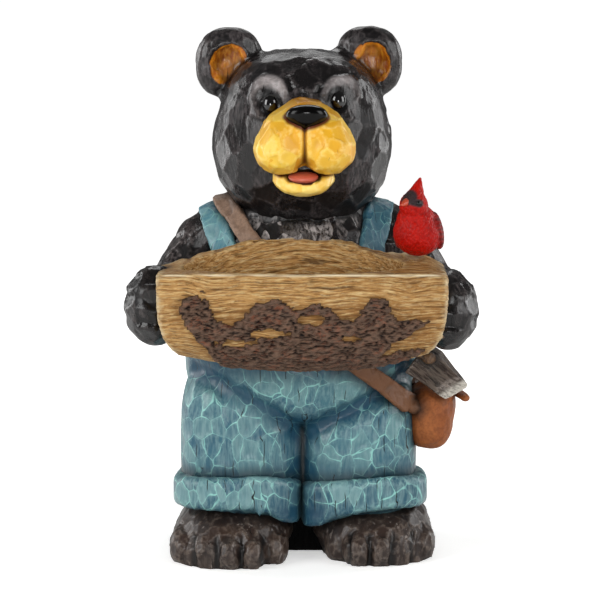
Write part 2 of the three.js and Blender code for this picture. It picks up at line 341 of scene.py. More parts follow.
def put(tree, kind, sockets=(), **settings):
    """Adds a node, sets its properties, sets or links its inputs, and gives its outputs."""
    made = tree.nodes.new(kind)
    for key, value in settings.items():
        setattr(made, key, value)
    for key, value in dict(sockets).items():
        if isinstance(value, Wire):
            lead(value, made.inputs[key])
        else:
            made.inputs[key].default_value = value
    return Outputs(tree, made.outputs)


def calc(kind, *values):
    """Adds a math node, one for vectors when its first wire carries a vector."""
    first = next(value for value in values if isinstance(value, Wire))
    made = put(first.tree, "ShaderNodeVectorMath" if first.wide else "ShaderNodeMath",
               enumerate(values), operation=kind)
    return made["Value" if kind in ("DOT_PRODUCT", "LENGTH") else 0]


def ease(value, low, high, start=0.0, end=1.0):
    """A smooth step of a value from start at low to end at high."""
    sockets = {"Value": value, "From Min": low, "From Max": high, "To Min": start, "To Max": end}
    return put(value.tree, "ShaderNodeMapRange", sockets, interpolation_type="SMOOTHSTEP")[0]


def noise(place, scale, detail=3.0, rough=0.55, output="Fac"):
    sockets = {"Vector": place, "Scale": scale, "Detail": detail, "Roughness": rough}
    return put(place.tree, "ShaderNodeTexNoise", sockets)[output]


def uneven(place, scale, amount, detail=3.0, rough=0.55):
    """A height that wavers around 0 by an amount."""
    return (noise(place, scale, detail, rough) - 0.5) * amount


def cells_of(place, scale, **settings):
    return put(place.tree, "ShaderNodeTexVoronoi", {"Vector": place, "Scale": scale}, **settings)


def wandering(place):
    """Lets a regular pattern wander a few millimetres, as handwork does."""
    return place + (noise(place, 42.0, 1.0, output="Color") - (0.5, 0.5, 0.5)) * 0.014


def feather_tufts(place):
    return cells_of(place * (1.0, 1.0, 0.75), 420.0)["Distance"]


def along_bark(place):
    return wandering(place) * (0.45, 1.0, 1.0)


def along_grain(place):
    """Places drawn out along the log, swaying a little and following the arch of the back edge."""
    across = place.parts()
    arch = across[0] * across[0] * ease(across[1], -0.14, -0.11, 0.0, 1.7)
    lifted = place + put(place.tree, "ShaderNodeCombineXYZ", {2: arch})[0]
    sway = noise(place, 22.0, 1.0, output="Color") * (0.0, 0.0, 0.012)
    return (lifted + sway) * (0.1, 1.0, 1.0)


def relief(piece, build):
    """Moves the skin out by the height in millimetres that build makes of each place, and keeps its masks."""
    tree = bpy.data.node_groups.new("relief", "GeometryNodeTree")
    for way in ("INPUT", "OUTPUT"):
        tree.interface.new_socket("Geometry", in_out=way, socket_type="NodeSocketGeometry")
    skin = put(tree, "NodeGroupInput")[0]
    place = put(tree, "GeometryNodeInputPosition")[0]
    normal = put(tree, "GeometryNodeInputNormal")[0]
    height, masks = build(place, normal, skin)
    for name, mask in masks.items():
        skin = put(tree, "GeometryNodeStoreNamedAttribute", {0: skin, "Name": name, "Value": mask})[0]
    moved = put(tree, "GeometryNodeSetPosition", {0: skin, "Offset": normal * (height * MM)})[0]
    put(tree, "NodeGroupOutput", {0: moved})
    return apply(piece, "NODES", node_group=tree)


def named(tree, name):
    return put(tree, "GeometryNodeInputNamedAttribute", {"Name": name}, data_type="FLOAT")[0]


def chisel(piece, cell, tall, depth, tilt, bow, soften, where=None):
    """Cuts the skin into flat chisel facets, one for each cell, each a little tilted and bowed inward."""
    stretch = (1, 1, tall)

    def build(place, normal, skin):
        cells = cells_of(place / stretch, 1 / (cell * MM))
        middle = cells["Position"] * stretch
        nearest = put(place.tree, "GeometryNodeProximity", {0: skin, "Sample Position": middle},
                      target_element="FACES")["Position"]
        facing = put(place.tree, "GeometryNodeSampleNearestSurface",
                     {"Mesh": skin, "Value": normal, "Sample Position": middle}, data_type="FLOAT_VECTOR")[0]
        plane = calc("NORMALIZE", facing + (cells["Color"] - (0.5, 0.5, 0.5)) * tilt)
        away = calc("DOT_PRODUCT", place - nearest, plane)
        rise = away / calc("MAXIMUM", calc("DOT_PRODUCT", normal, plane), 0.7) * (-1 / MM)
        sunk = rise + calc("POWER", cells["Distance"], 2.0) * bow - depth * 0.6
        held = calc("MINIMUM", calc("MAXIMUM", sunk, -1.7 * depth), 0.9 * depth)
        return held * named(place.tree, where) if where else held, {}

    relief(piece, build)
    return smooth(piece, soften)


def scoops(piece, cloth, depth):
    """Hollows the skin into shallow gouge marks that meet in ridges. The finish reads the same cells."""
    cell, deep, tall = CLOTH_CELLS[cloth]

    def build(place, normal, skin):
        cells = cells_of(wandering(place) / (1, deep, tall), 1 / (cell * MM), feature="DISTANCE_TO_EDGE")
        return ease(cells["Distance"], 0.0, 0.4, 0.55 * depth, -0.6 * depth), {}

    relief(piece, build)
    return smooth(piece, 1)


# ---- sizes in millimetres, turns in degrees ----

FACE_X = 2.4
HEAD = {"centre": (0.2, -8, 411), "radii": (88.2, 80, 89)}
EARS = [(-71.5, 3, 486), (65.3, 3, 487.3)]
EAR_RADII = (33.6, 17, 35.5)
CUPS = [(-72, -15, 485.5), (68.5, -15, 487.5)]
CUP_RADII = (18, 11.5, 20.5)
EYES = [(-30.5, -75, 451.7), (34.8, -75, 454.8)]
EYE_RADII = (7.7, 6, 9)
EYE_HOLLOW = {"y": -92.5, "radii": (18, 17, 18)}
BROWS = [{"x": -32, "z": 451, "wide": 18.5, "high": 27, "bright": 1.0},
         {"x": 37.8, "z": 454, "wide": 18.5, "high": 24, "bright": 0.66}]
BROW_RISE = 2.4
NOSE = {"centre": (FACE_X + 2, -119.5, 443.4), "radii": (20.2, 14, 11.6)}
LIP = {"centre": (FACE_X - 1, -68, 373.5), "radii": (30.6, 47, 17.5)}
MOUTH = {"centre": (FACE_X - 1, -112, 391), "radii": (19.5, 21, 13.3)}
TONGUE = {"centre": (FACE_X - 1, -89.5, 382), "radii": (20.5, 17, 6.2)}
TORSO = {"centre": (-2, 2, 268), "radii": (100, 78, 92), "full": 2.3}
BELLY = {"centre": (-1.5, -4, 192), "radii": (110.5, 86, 76), "full": 2.15}
NECK = {"centre": (-1, 2, 342), "radii": (74, 58, 24)}
SHOULDER_RADIUS = 38
BODY_LOW = 214
FISTS = [(-140, -120, 264), (139, -120, 260)]
FIST_RADII = (28.5, 36, 38)
LEGS = [{"x": -60, "half": 61}, {"x": 56, "half": 58}]
LEG_TOP = 196
LEG_DEPTH = 74
LEG_FULL = 3.3
GUSSET = {"centre": (-0.5, -8, 100), "radii": (24, 50, 62), "full": 2.4}
WAIST_TOP = 262
HIP_FOLDS = [[(-104, 188), (-77, 178), (-36, 156), (-4, 132)],
             [(102, 182), (83, 169), (50, 154), (7, 132)]]
HIP_FOLD_DEPTH = 6.5
SEAM_X = 0.5
SEAM_DEPTH = 5
BIB_TOP = 304
BIB_BACK_TOP = 292
BIB_LOW = 252
BRACE_TOP = 368
BRACE_WIDTHS = {"front": 25, "back": 23}
STRAP_WIDTHS = {"chest": 18, "hip": 17, "back": 20}
STRAP_TOP = (-90, 370)
STRAP_END = {"centre": (109, -50, 154), "radii": (11, 10, 7), "full": 2.4, "turn": (0, 0.69, -0.75)}
CUFFS = [{"x": -63.5, "half": 64.5, "low": 41, "lean": 0.01},
         {"x": 61, "half": 63.5, "low": 39.5, "lean": 0.06}]
CUFF_HEIGHT = 35
CUFF_DEPTH = 82
CUFF_FULL = 4.2
CUFF_RISE = 0.13
CLOTH_OUT = 4.5
CLOTH_THICKNESS = 7
# The width of each cloth's gouge marks, and how many times deeper and taller than wide they are.
CLOTH_CELLS = {"trousers": (15.5, 1.5, 1.3), "bib": (14.5, 1.0, 1.15), "cuffs": (13, 1.8, 1.5)}
FEET = [
    {"x": -69.5, "y": -18, "long": 86, "turn": 0.12, "lean": 0.17,
     "toes": [(-116, -87), (-96, -101), (-71, -110), (-48.5, -109), (-28.5, -91)]},
    {"x": 69, "y": -12, "long": 80, "turn": 0.4, "lean": 0.05,
     "toes": [(117.5, -73), (101, -87), (77, -98), (54.5, -98), (37, -78)]},
]
FOOT_HALF = 62.5
FOOT_HEIGHT = 51
TOE_RADII = (15, 27, 19)
TOE_GAP_DEPTH = 2.2
WEB = {"low": (-24, -33, -4), "high": (26, 40, 62)}
POUCH = {"centre": (128, -21, 138), "radii": (23.5, 38, 32.5), "full": 2.9}
FLAP_Z = 160
AXE_OUTLINE = [(-3, -14), (20, -12.5), (44, -14), (47, -9), (54, 7.5), (53.5, 11), (34, 15), (14, 20.5),
               (-3, 19)]
AXE_THICKNESS = 26
AXE_TILT = 35
AXE_TURN = -12
AXE_PLACE = (113, -56, 198)
HANDLE_TOP = (124, -68, 204)
HANDLE_RADIUS = 6.5
LOG = {"half": 136, "y": -124, "width": 94, "low": 206, "front": 300, "belly": 0.62, "tuck": 33, "full": 2.5}
# The top edge of the log behind its basin, in x and z.
BACK_EDGE = [(-142, 295), (-131, 298), (-124, 302), (-113, 303), (-110, 309), (-93, 313), (-78, 319),
             (-62, 323.5), (-20, 324.5), (30, 323), (46, 324), (62, 320), (76, 314), (88, 310), (127, 310),
             (131, 304), (140, 294)]
BASIN = {"centre": (-9, -125, 304), "radii": (105, 38.5, 60)}
# The outline of the bark in x and z, and the bare spots in it, each a centre and two half sizes.
BARK = [(-116, 268), (-110, 277), (-98, 280), (-88, 275), (-82, 260), (-66, 252), (-54, 263), (-40, 275),
        (-24, 278), (-14, 271), (0, 266), (10, 272), (24, 271), (34, 259), (48, 256), (56, 266), (64, 279),
        (76, 279), (82, 266), (88, 256), (104, 258), (120, 257), (108, 249), (98, 241), (84, 234), (74, 222),
        (96, 228), (116, 229), (100, 217), (64, 208), (10, 200), (-50, 202), (-76, 212), (-88, 228),
        (-104, 247)]
BARE = [((-34, 245), (18, 4.5)), ((8, 258), (13, 5)), ((-62, 236), (17, 3.5)), ((46, 240), (9, 3))]
PERCH_HEIGHT = 310
BREAST = {"centre": (110, -114, 333), "radii": (23.8, 23, 22.5)}
BIRD_NECK = {"centre": (108, -117, 346), "radii": (18.5, 18, 15)}
BIRD_HEAD = {"centre": (105.5, -122, 359), "radii": (13.8, 14, 14.5)}
BIRD_EYE = {"centre": (109.5, -134.6, 363), "radii": (1.9, 1.5, 2.0)}
WINGS = [(127.5, -111, 334.5, 1), (96, -99, 334, -1)]
WING_RADII = (6.5, 16, 19)
CREASE_DEPTH = 2.2
RIDGE_HEIGHT = 0.16
RIDGE_ROUNDS = 5


# ---- the head ----

def brow_arch(rows, brow):
    """How far out each place is from the middle of a brow's arch, 1 on its outer edge, and its upper part."""
    x, _, z = rows.T
    across, lift = np.abs(x - brow["x"]) / brow["wide"], np.abs(z - brow["z"]) / brow["high"]
    out = (across ** 2.5 + lift ** 2.5) ** 0.4
    return out, step(z - brow["z"], -6, 9)


def inward(rows, place, side):
    """How far each place lies from an ear's middle toward the head, down and in."""
    return -side * (rows[:, 0] - place[0]) - 0.9 * (rows[:, 2] - place[2])


def build_head():
    def flat_crown(x, y, z):
        up = z > 0
        x[up] *= 1 - 0.11 * z[up]
        z[~up] *= 0.96

    parts = [ball(**HEAD, full=lambda lift: 2.25 + 0.8 * np.maximum(lift, 0), form=flat_crown)]
    for centre, cup, side in zip(EARS, CUPS, (-1, 1)):
        disc = ball(centre, EAR_RADII, 2.3, turn=(0.1, 0, side * -0.12))
        parts.append(cut(disc, ball(cup, CUP_RADII)))
    head = weld("bear_head", parts, 1.6, soften=9)
    for x, _, z in EYES:
        cut(head, ball((x, EYE_HOLLOW["y"], z), EYE_HOLLOW["radii"]))
    weld("bear_head", [head], 1.55, soften=4)
    rows = points(head)
    base = np.zeros(len(rows))
    for ear, side in zip(EARS, (-1, 1)):
        base = np.maximum(base, spots(rows, [ear], 48, 36) * step(inward(rows, ear, side), 8, 22))
    sleeken(head, 45, base)
    rows = points(head)
    front = step(rows[:, 1], -30, -55)
    arches = [brow_arch(rows, brow) for brow in BROWS]
    lift = sum(step(out, 1.12, 0.98) * step(out, 0.5, 0.9) * upper for out, upper in arches)
    raise_skin(head, BROW_RISE * lift * front)
    rows = points(head)
    ears = spots(rows, EARS, 46, 34)
    eyes = spots(rows, EYES, 17, 11) * front
    keep(head, skull=np.clip(1 - ears - 0.85 * eyes, 0, 1), ears=np.clip(ears, 0, 1))
    chisel(head, cell=19, tall=1.35, depth=1.3, tilt=0.11, bow=0.6, soften=1, where="skull")
    return chisel(head, cell=10, tall=1.2, depth=0.5, tilt=0.1, bow=0.3, soften=3, where="ears")


def build_muzzle():
    def bridge(x, y, z):
        x *= 1 - 0.34 * np.maximum(z, 0) ** 1.5

    parts = [
        ball((FACE_X, -86, 426), (42.5, 44, 34), form=bridge),
        ball((FACE_X, -84, 415), (45.5, 44, 23)),
        ball((FACE_X + 1, -102, 436), (25, 24, 18)),
    ]
    for side in (-1, 1):
        cheek = (FACE_X + side * 22.5, -98, 411.5)
        parts.append(ball(cheek, (26.5, 38, 25.5), turn=(0, side * -0.2, side * 0.12)))
        parts.append(ball((FACE_X + side * 19, -98, 424), (24, 33, 24), turn=(0, side * -0.3, 0)))
    muzzle = weld("bear_muzzle", parts, 1.5, soften=5)
    x, _, z = points(muzzle).T
    sleeken(muzzle, 60, np.maximum(step(z, 416, 430), step(np.abs(x - FACE_X), 8, 22) * 0.8))
    chisel(muzzle, cell=14, tall=1.2, depth=0.9, tilt=0.11, bow=0.4, soften=2)
    rows = points(muzzle)
    x, y, z = rows.T
    lower = step(z, 402, 390)
    below_nose = step(z, 447, 436) * step(y, -98, -112)
    groove = bell(x - FACE_X, 2.3 + 1.2 * lower) * (5 + 3 * step(z, 425, 400)) * below_nose
    notch = bell(x - FACE_X, 4) * 1.5 * lower * step(y, -84, -104)
    set_points(muzzle, rows + np.stack([0 * groove, groove, notch], 1))
    return muzzle


def build_lip():
    def cradle(x, y, z):
        low = z < 0
        z[low] *= 0.56 * (1 - 0.25 * x[low] ** 2)
        x *= 1 + 0.06 * z
        z += 0.4 * np.abs(x) ** 3

    lip = cut(ball(**LIP, full=2.35, form=cradle), ball(**MOUTH))
    lip = weld("bear_lower_lip", [lip], 1.4, soften=4)
    return chisel(lip, cell=12, tall=1, depth=0.5, tilt=0.08, bow=0.3, soften=2)


def build_nose():
    def pointed(x, y, z):
        low = z < 0
        x[low] *= 1 + 0.38 * z[low]
        z[low] *= 1.24
        y -= 0.35 * z

    return ball(**NOSE, full=2.25, form=pointed, name="bear_nose")


# ---- the body ----

def trunk(name, grow):
    """Torso, belly, neck and shoulders, grown outward to make a skin for cloth or straps."""
    def grown(form):
        return dict(form, radii=[radius + grow for radius in form["radii"]])

    parts = [ball(**grown(form)) for form in (TORSO, BELLY, NECK)]
    for side in (-1, 1):
        path = [(side * 60, 1, 311), (side * 78, 1, 312), (side * 90, 0, 302)]
        parts.append(limb(path, [SHOULDER_RADIUS + grow] * 3))
    return weld(name, parts, 2.4, soften=8)


def legs(grow):
    middle = LEG_TOP / 2 + 12
    size = (LEG_DEPTH + grow, LEG_TOP - middle + grow)
    return [ball((leg["x"], -2, middle), (leg["half"] + grow, *size), LEG_FULL) for leg in LEGS]


def build_body():
    def fingers(x, y, z):
        swell = 1 + 0.045 * np.cos(z * 4 * math.pi)
        near = y < 0.3
        x[near] *= swell[near]
        y[near] *= swell[near]

    parts = [trunk("trunk", 0)]
    for side, fist in zip((-1, 1), FISTS):
        wrist = (fist[0] - side * 2, -104, fist[2])
        parts.append(limb([(side * 77, 2, 313), (side * 101, 0, 290), (side * 116, -22, 264)], [37, 38, 35]))
        parts.append(limb([(side * 116, -20, 264), (side * 131, -60, 258), wrist], [35, 33, 31]))
        parts.append(ball(fist, FIST_RADII, 2.05, form=fingers))
    body = weld("bear_body", parts, 2.05, soften=4)
    slice_off(body, (0, 0, BODY_LOW), (0, 0, -1), fill=True)
    return chisel(body, cell=15, tall=1.3, depth=1.1, tilt=0.15, bow=0.5, soften=1)


def fold_gap(rows):
    """Distance from the nearer of the two hip folds."""
    return np.minimum(*[line_gap(rows, line) for line in HIP_FOLDS])


def build_trousers():
    waist = slice_off(trunk("waist", CLOTH_OUT), (0, 0, WAIST_TOP), (0, 0, 1), fill=True)
    gusset = ball(**GUSSET)
    trousers = weld("trousers", [*legs(0), gusset, waist], 2.1, soften=7)
    rows = points(trousers)
    x, y, z = rows.T
    seam = bell(x - SEAM_X, 4.5) * step(z, 140, 120)
    folds = HIP_FOLD_DEPTH * bell(fold_gap(rows), 8.5)
    raise_skin(trousers, -(folds + SEAM_DEPTH * seam) * step(y, -10, -40))
    smooth(trousers, 2)
    return scoops(trousers, "trousers", 0.9)


def build_bib(skin):
    top, back_top = ((0, 0, BIB_TOP), (0, 0, 1)), ((0, 0, BIB_BACK_TOP), (0, 0, 1))
    bottom = ((0, 0, BIB_LOW), (0, 0, -1))
    parts = [
        panel(skin, True, [((-70, 0, 280), (-1, 0, 0.08)), ((66, 0, 280), (1, 0, 0.08)), top, bottom]),
        panel(skin, False, [((-52, 0, 273), (-1, 0, 0.75)), ((48, 0, 273), (1, 0, 0.75)), back_top, bottom]),
        strip(skin, True, (-71, 292), (-99, BRACE_TOP), BRACE_WIDTHS["front"]),
        strip(skin, True, (65, 292), (83, BRACE_TOP), BRACE_WIDTHS["front"]),
        strip(skin, False, (-101, BRACE_TOP), (12, 262), BRACE_WIDTHS["back"]),
        strip(skin, False, (88, BRACE_TOP), (-16, 262), BRACE_WIDTHS["back"]),
    ]
    return scoops(weld("bib_and_braces", parts, 1.75, soften=2), "bib", 0.7)


def build_satchel_strap():
    skin = weld("strap_skin", [trunk("upper", 2 * CLOTH_OUT), *legs(CLOTH_OUT)], 2.4, soften=4)
    parts = [
        strip(skin, True, STRAP_TOP, (43, 200), STRAP_WIDTHS["chest"]),
        strip(skin, True, (44, 208), (109, 155), STRAP_WIDTHS["hip"]),
        strip(skin, False, STRAP_TOP, (124, 158), STRAP_WIDTHS["back"]),
    ]
    bpy.data.objects.remove(skin)
    parts.append(ball(**STRAP_END))
    strap = weld("satchel_strap", parts, 1.8, soften=2)
    return chisel(strap, cell=15, tall=1.2, depth=0.5, tilt=0.1, bow=0.3, soften=1)


def build_cuff(name, size):
    """A turned-up cuff: a squarish ring of cloth that rises toward the front and sags on its inner side."""
    deselect()
    bpy.ops.mesh.primitive_cylinder_add(vertices=96, radius=1, depth=1, end_fill_type="NGON")
    cuff = bpy.context.object
    rows = points(cuff) * MM
    rows[:, :2] *= ((np.abs(rows[:, :2]) ** CUFF_FULL).sum(1, keepdims=True)) ** (-1 / CUFF_FULL)
    x, y, z = rows.T
    out = math.copysign(1, size["x"]) * x
    inner = step(-out, 0.3, 1) * step(-y, 0.2, 0.8)
    outer = step(out, -0.3, 1) * step(-y, 0, 0.7)
    z += outer * (0.06 - 0.12 * z) - inner * (0.27 - 0.38 * z)
    rows *= (size["half"], CUFF_DEPTH, CUFF_HEIGHT)
    rows += (0, -4, size["low"] + CUFF_HEIGHT / 2)
    z += -CUFF_RISE * y + size["lean"] * x
    z += 0.8 * np.sin(x / 13) + 0.6 * np.sin(y / 17 + x / 29)
    x += size["x"]
    set_points(cuff, rows)
    apply(cuff, "BEVEL", width=7 * MM, segments=4, limit_method="ANGLE", angle_limit=1.0)
    return scoops(weld(name, [cuff], 1.8, soften=4), "cuffs", 0.8)


def build_foot(name, size):
    def slope(x, y, z):
        front = y < 0
        z[front] *= 1 - 0.3 * y[front] ** 2
        y[front] *= 1 - 0.13 * x[front] ** 2
        inner = -math.copysign(1, size["x"]) * x > 0
        x[inner] *= 1 - 0.19 * step(z[inner], 0.4, -0.16)
        x[inner & front] *= 1 - size["turn"] * y[inner & front] ** 2
        x[~inner] *= 1 - size["lean"] * step(z[~inner], -0.1, 0.8)

    parts = [ball((size["x"], size["y"], 8), (FOOT_HALF, size["long"], FOOT_HEIGHT), 3.0, form=slope)]
    parts += [ball((x, y + TOE_RADII[1], 13.5), TOE_RADII, 2.25) for x, y in size["toes"]]
    foot = weld(name, parts, 1.55, soften=2)
    x, y, z = points(foot).T
    between = np.zeros(len(x))
    for (tip_x, tip_y), (next_x, _) in zip(size["toes"], size["toes"][1:]):
        gap = bell(x - (tip_x + next_x) / 2 - (y - tip_y) * 0.08, 2.2)
        between = np.maximum(between, gap * step(y, tip_y + 44, tip_y + 22))
    between *= step(z, 35, 27)
    raise_skin(foot, -TOE_GAP_DEPTH * between)
    # gap keeps the grooves between the toes, where shade is painted
    keep(foot, gap=between)
    chisel(foot, cell=11, tall=1.2, depth=0.7, tilt=0.12, bow=0.4, soften=1)
    return slice_off(foot, (0, 0, 0), (0, 0, -1), fill=True)


def build_web():
    web = weld("web_between_feet", [block(**WEB, bevel=3)], 2.2, soften=2)
    chisel(web, cell=12, tall=1.2, depth=0.6, tilt=0.1, bow=0.4, soften=1)
    return slice_off(web, (0, 0, 1), (0, 0, -1), fill=True)


# ---- what it carries ----

def build_pouch():
    def worn(x, y, z):
        x[:] = x * (1 + 0.1 * z) + 0.09 * z
        z *= 1 - 0.05 * np.cos(3 * y)

    pouch = weld("satchel_pouch", [ball(**POUCH, form=worn)], 1.6, soften=2)
    return chisel(pouch, cell=16, tall=1.2, depth=0.6, tilt=0.1, bow=0.4, soften=3)


def build_flap():
    rolled = limb([(161, -50, FLAP_Z), (156, -20, FLAP_Z + 1), (143, 10, FLAP_Z - 2)], [4.6, 6, 5])
    flap = weld("satchel_flap", [rolled], 1.1, soften=2)
    rows = points(flap)
    rows[:, 2] = FLAP_Z + (rows[:, 2] - FLAP_Z) * 0.8
    set_points(flap, rows)
    return flap


def build_axe_head():
    mesh = bpy.data.meshes.new("axe_head")
    mesh.from_pydata([(x * MM, 0, z * MM) for x, z in AXE_OUTLINE], [], [list(range(len(AXE_OUTLINE)))])
    axe = bpy.data.objects.new("axe_head", mesh)
    bpy.context.collection.objects.link(axe)
    pick(axe)
    bpy.ops.object.mode_set(mode="EDIT")
    bpy.ops.mesh.select_all(action="SELECT")
    bpy.ops.mesh.extrude_region_move(TRANSFORM_OT_translate={"value": (0, AXE_THICKNESS * MM, 0)})
    bpy.ops.mesh.select_all(action="SELECT")
    bpy.ops.mesh.normals_make_consistent(inside=False)
    bpy.ops.object.mode_set(mode="OBJECT")
    apply(axe, "BEVEL", width=1.2 * MM, segments=2, limit_method="ANGLE", angle_limit=0.6)
    apply(axe, "SUBSURF", subdivision_type="SIMPLE", levels=4, render_levels=4)
    rows = points(axe)
    beyond = 0.935 * (rows[:, 0] - 44) - 0.356 * (rows[:, 2] + 14)
    thinned = np.interp(beyond, [-50, -11, -6, 0], [1, 0.55, 0.36, 0.06])
    rows[:, 1] = (rows[:, 1] - AXE_THICKNESS / 2) * thinned
    set_points(axe, rows)
    axe.rotation_euler = (0, math.radians(AXE_TILT), 0)
    settle(axe)
    axe.rotation_euler = (0, 0, math.radians(AXE_TURN))
    axe.location = Vector(AXE_PLACE) * MM
    settle(axe)
    keep(axe, edge=step(beyond, -8.5, -4.5))
    return axe


def build_axe_handle():
    path = [HANDLE_TOP, (124, -30, 192), (122, 20, 172), (118, 56, 158)]
    handle = limb(path, [*[HANDLE_RADIUS] * 3, HANDLE_RADIUS + 0.5])
    knobs = [ball(HANDLE_TOP, (8, 8, 7), detail=4), ball((116, -66, 207), (7, 7, 5.5), detail=4)]
    return weld("axe_handle", [handle, *knobs], 1.3, soften=2)


# ---- the half log ----

def back_edge(x):
    return np.interp(x, *np.array(BACK_EDGE, float).T)


def end_reach(height):
    """How far the log's ends lie from its middle: less low down, where they round off, and at the top."""
    below = np.clip((285 - height) / (285 - LOG["low"]), 0, 1)
    return LOG["half"] - LOG["tuck"] * below ** 3.1 - 1.15 * np.maximum(height - 298, 0)


def bark_room(rows):
    """How far inside the edge of the bark each corner lies; below 0 where the wood is bare."""
    x, y, z = rows.T
    inside = outline_depth(rows, BARK)
    for (bare_x, bare_z), (long, high) in BARE:
        window = 1 - np.sqrt(((x - bare_x) / long) ** 2 + ((z - bare_z) / high) ** 2)
        inside = np.minimum(inside, -window * high * 1.3)
    under = step(z, 214, 206) * step(np.abs(x), 96, 80) * 6
    outer = (y < LOG["y"] + 8) & (ball_share(rows, **BASIN) > 1.12)
    return np.where(outer, np.maximum(inside, under - 3), -9)


def build_log():
    deselect()
    bpy.ops.mesh.primitive_cylinder_add(
        vertices=160, radius=1, depth=2, end_fill_type="NGON", rotation=(0, math.pi / 2, 0))
    log = settle(bpy.context.object)
    log.name = "log_bath"
    apply(log, "REMESH", mode="VOXEL", voxel_size=0.018)
    along, across, lift = (points(log) * MM).T
    around = np.maximum(np.hypot(across, lift), 1e-6)
    power = LOG["full"]
    fuller = (np.abs(across / around) ** power + np.abs(lift / around) ** power) ** (-1 / power)
    across *= fuller
    lift *= fuller
    belly = (LOG["front"] - LOG["low"]) * LOG["belly"]
    middle = LOG["low"] + belly
    share = np.clip(across / 2 + 0.5, 0, 1)
    top = LOG["front"] + (back_edge(along * LOG["half"]) - LOG["front"]) * share ** 1.3
    tight = np.clip(np.abs(across) * 0.35 + lift * 1.2, 0, 1)
    height = np.where(lift > 0, middle + (top - middle) * tight, middle + lift * belly)
    ragged = 1.1 * np.sin(along * 33 + 1.3 * np.sin(along * 15)) + 0.7 * np.sin(along * 71 + 2 * across)
    height += ragged * step(share, 0.6, 0.9) * step(lift, 0.3, 0.8)
    height += 12 * np.abs(along) ** 2.6 * np.clip((LOG["front"] - 15 - height) / belly, 0, 1)
    ends = np.clip(along, -1, 1) * end_reach(height)
    set_points(log, np.stack([ends, LOG["y"] + across * LOG["width"] / 2, height], 1))
    cut(log, ball(**BASIN, full=2.4))
    squeeze = np.array((0.42, 1, 1))
    set_points(log, points(log) * squeeze)
    weld("log_bath", [log], 1.02, soften=2)
    set_points(log, points(log) / squeeze)
    keep(log, bark_room=bark_room(points(log)))

    def build(place, normal, skin):
        hewn = uneven(place * (0.3, 1.0, 1.0), 60.0, 2.4, 1.0)
        wood = uneven(along_grain(place), 330.0, 3.0, 2.0, 0.5) + hewn
        bark = ease(named(place.tree, "bark_room") + uneven(place, 150.0, 13.0, 3.0, 0.6), -0.5, 0.9)
        fibres = along_bark(place)
        lumps = uneven(place * (0.42, 1.0, 1.15), 90.0, 7.0, 2.0)
        seams = calc("ABSOLUTE", noise(fibres, 90.0, 3.0, 0.65) - 0.5)
        rift = ease(seams, 0.028, 0.008)
        proud = lumps + uneven(fibres, 250.0, 6.0, 4.0, 0.7) + 3.4 - rift * 2.4
        return wood * (1.0 - bark) + proud * bark, {"bark": bark, "rift": rift}

    return relief(log, build)


# ---- the cardinal ----

def build_bird():
    def breast(x, y, z):
        lift = np.maximum(z, 0)
        x[:] = x * (1 - 0.2 * lift) - 0.12 * lift
        y -= 0.1 * lift
        z += 0.12 * lift

    parts = [
        ball(**BREAST, form=breast),
        ball(**BIRD_NECK, detail=4),
        ball(**BIRD_HEAD, detail=4),
        limb([(106, -122, 364), (108.5, -120, 374), (111.5, -117, 384.5)], [11, 7, 1.6]),
        limb([(114, -100, 326), (119, -92, 322), (124, -86, 319)], [8, 7, 5]),
    ]
    for *centre, side in WINGS:
        parts.append(ball(centre, WING_RADII, turn=(0.2, side * -0.2, side * 0.12), detail=4))
    bird = weld("cardinal_body", parts, 1.05, soften=3)
    slice_off(bird, (0, 0, PERCH_HEIGHT - 2), (0, 0, -1), fill=True)
    return relief(bird, lambda place, normal, skin: (ease(feather_tufts(place), 0.0, 0.8, 0.25, -0.2), {}))


def build_beak():
    beak = limb([(98.5, -130, 363.5), (96, -134, 362.8), (93.3, -137, 361.8)], [4, 3.1, 1.2])
    return weld("cardinal_beak", [beak], 0.5, soften=2)


# ---- put together ----

head = build_head()
muzzle = build_muzzle()
lip = build_lip()
tongue = ball(**TONGUE, full=2.2, name="bear_tongue")
nose = build_nose()
eyes = [ball(centre, EYE_RADII, name=name) for name, centre in zip(("bear_eye_left", "bear_eye_right"), EYES)]
body = build_body()
trousers = build_trousers()
cloth_skin = trunk("cloth_skin", CLOTH_OUT)
bib = build_bib(cloth_skin)
bpy.data.objects.remove(cloth_skin)
satchel_strap = build_satchel_strap()
cuffs = [build_cuff(name, size) for name, size in zip(("cuff_left", "cuff_right"), CUFFS)]
feet = [build_foot(name, size) for name, size in zip(("foot_left", "foot_right"), FEET)]
web = build_web()
pouch = build_pouch()
flap = build_flap()
axe_head = build_axe_head()
axe_handle = build_axe_handle()
log = build_log()
bird = build_bird()
beak = build_beak()
bird_eye = ball(**BIRD_EYE, name="cardinal_eye")


# ---- painted places ----

def closeness(piece, others, reach):
    """1 where a corner touches another piece, falling to 0 at the reach in millimetres."""
    rows = points(piece)
    gap = np.full(len(rows), float(reach))
    for other in others:
        theirs = points(other)
        near = ((rows > theirs.min(0) - reach) & (rows < theirs.max(0) + reach)).all(1)
        corners = [Vector(row) for row in theirs]
        tree = BVHTree.FromPolygons(corners, [face.vertices[:] for face in other.data.polygons])
        for index in np.flatnonzero(near):
            distance = tree.find_nearest(rows[index], reach)[3]
            if distance is not None:
                gap[index] = min(gap[index], distance)
    return 1 - gap / reach


def mark_skin(piece, neighbours=(), reach=8, coarse=40, masks=lambda rows: {}):
    """Keeps where shade is painted and where paint wears: creases and joins, which take painted shade,
    ridges, which take wear, and the piece's own masks.
    """
    keep(piece,
         # crease and join mark where shade is painted: in hollows and where pieces touch
         crease=np.clip(sunkness(piece, coarse) / CREASE_DEPTH, 0, 1),
         ridge=np.clip(-sunkness(piece, RIDGE_ROUNDS) / RIDGE_HEIGHT - 0.1, 0, 1),
         join=closeness(piece, neighbours, reach),
         **masks(points(piece)))


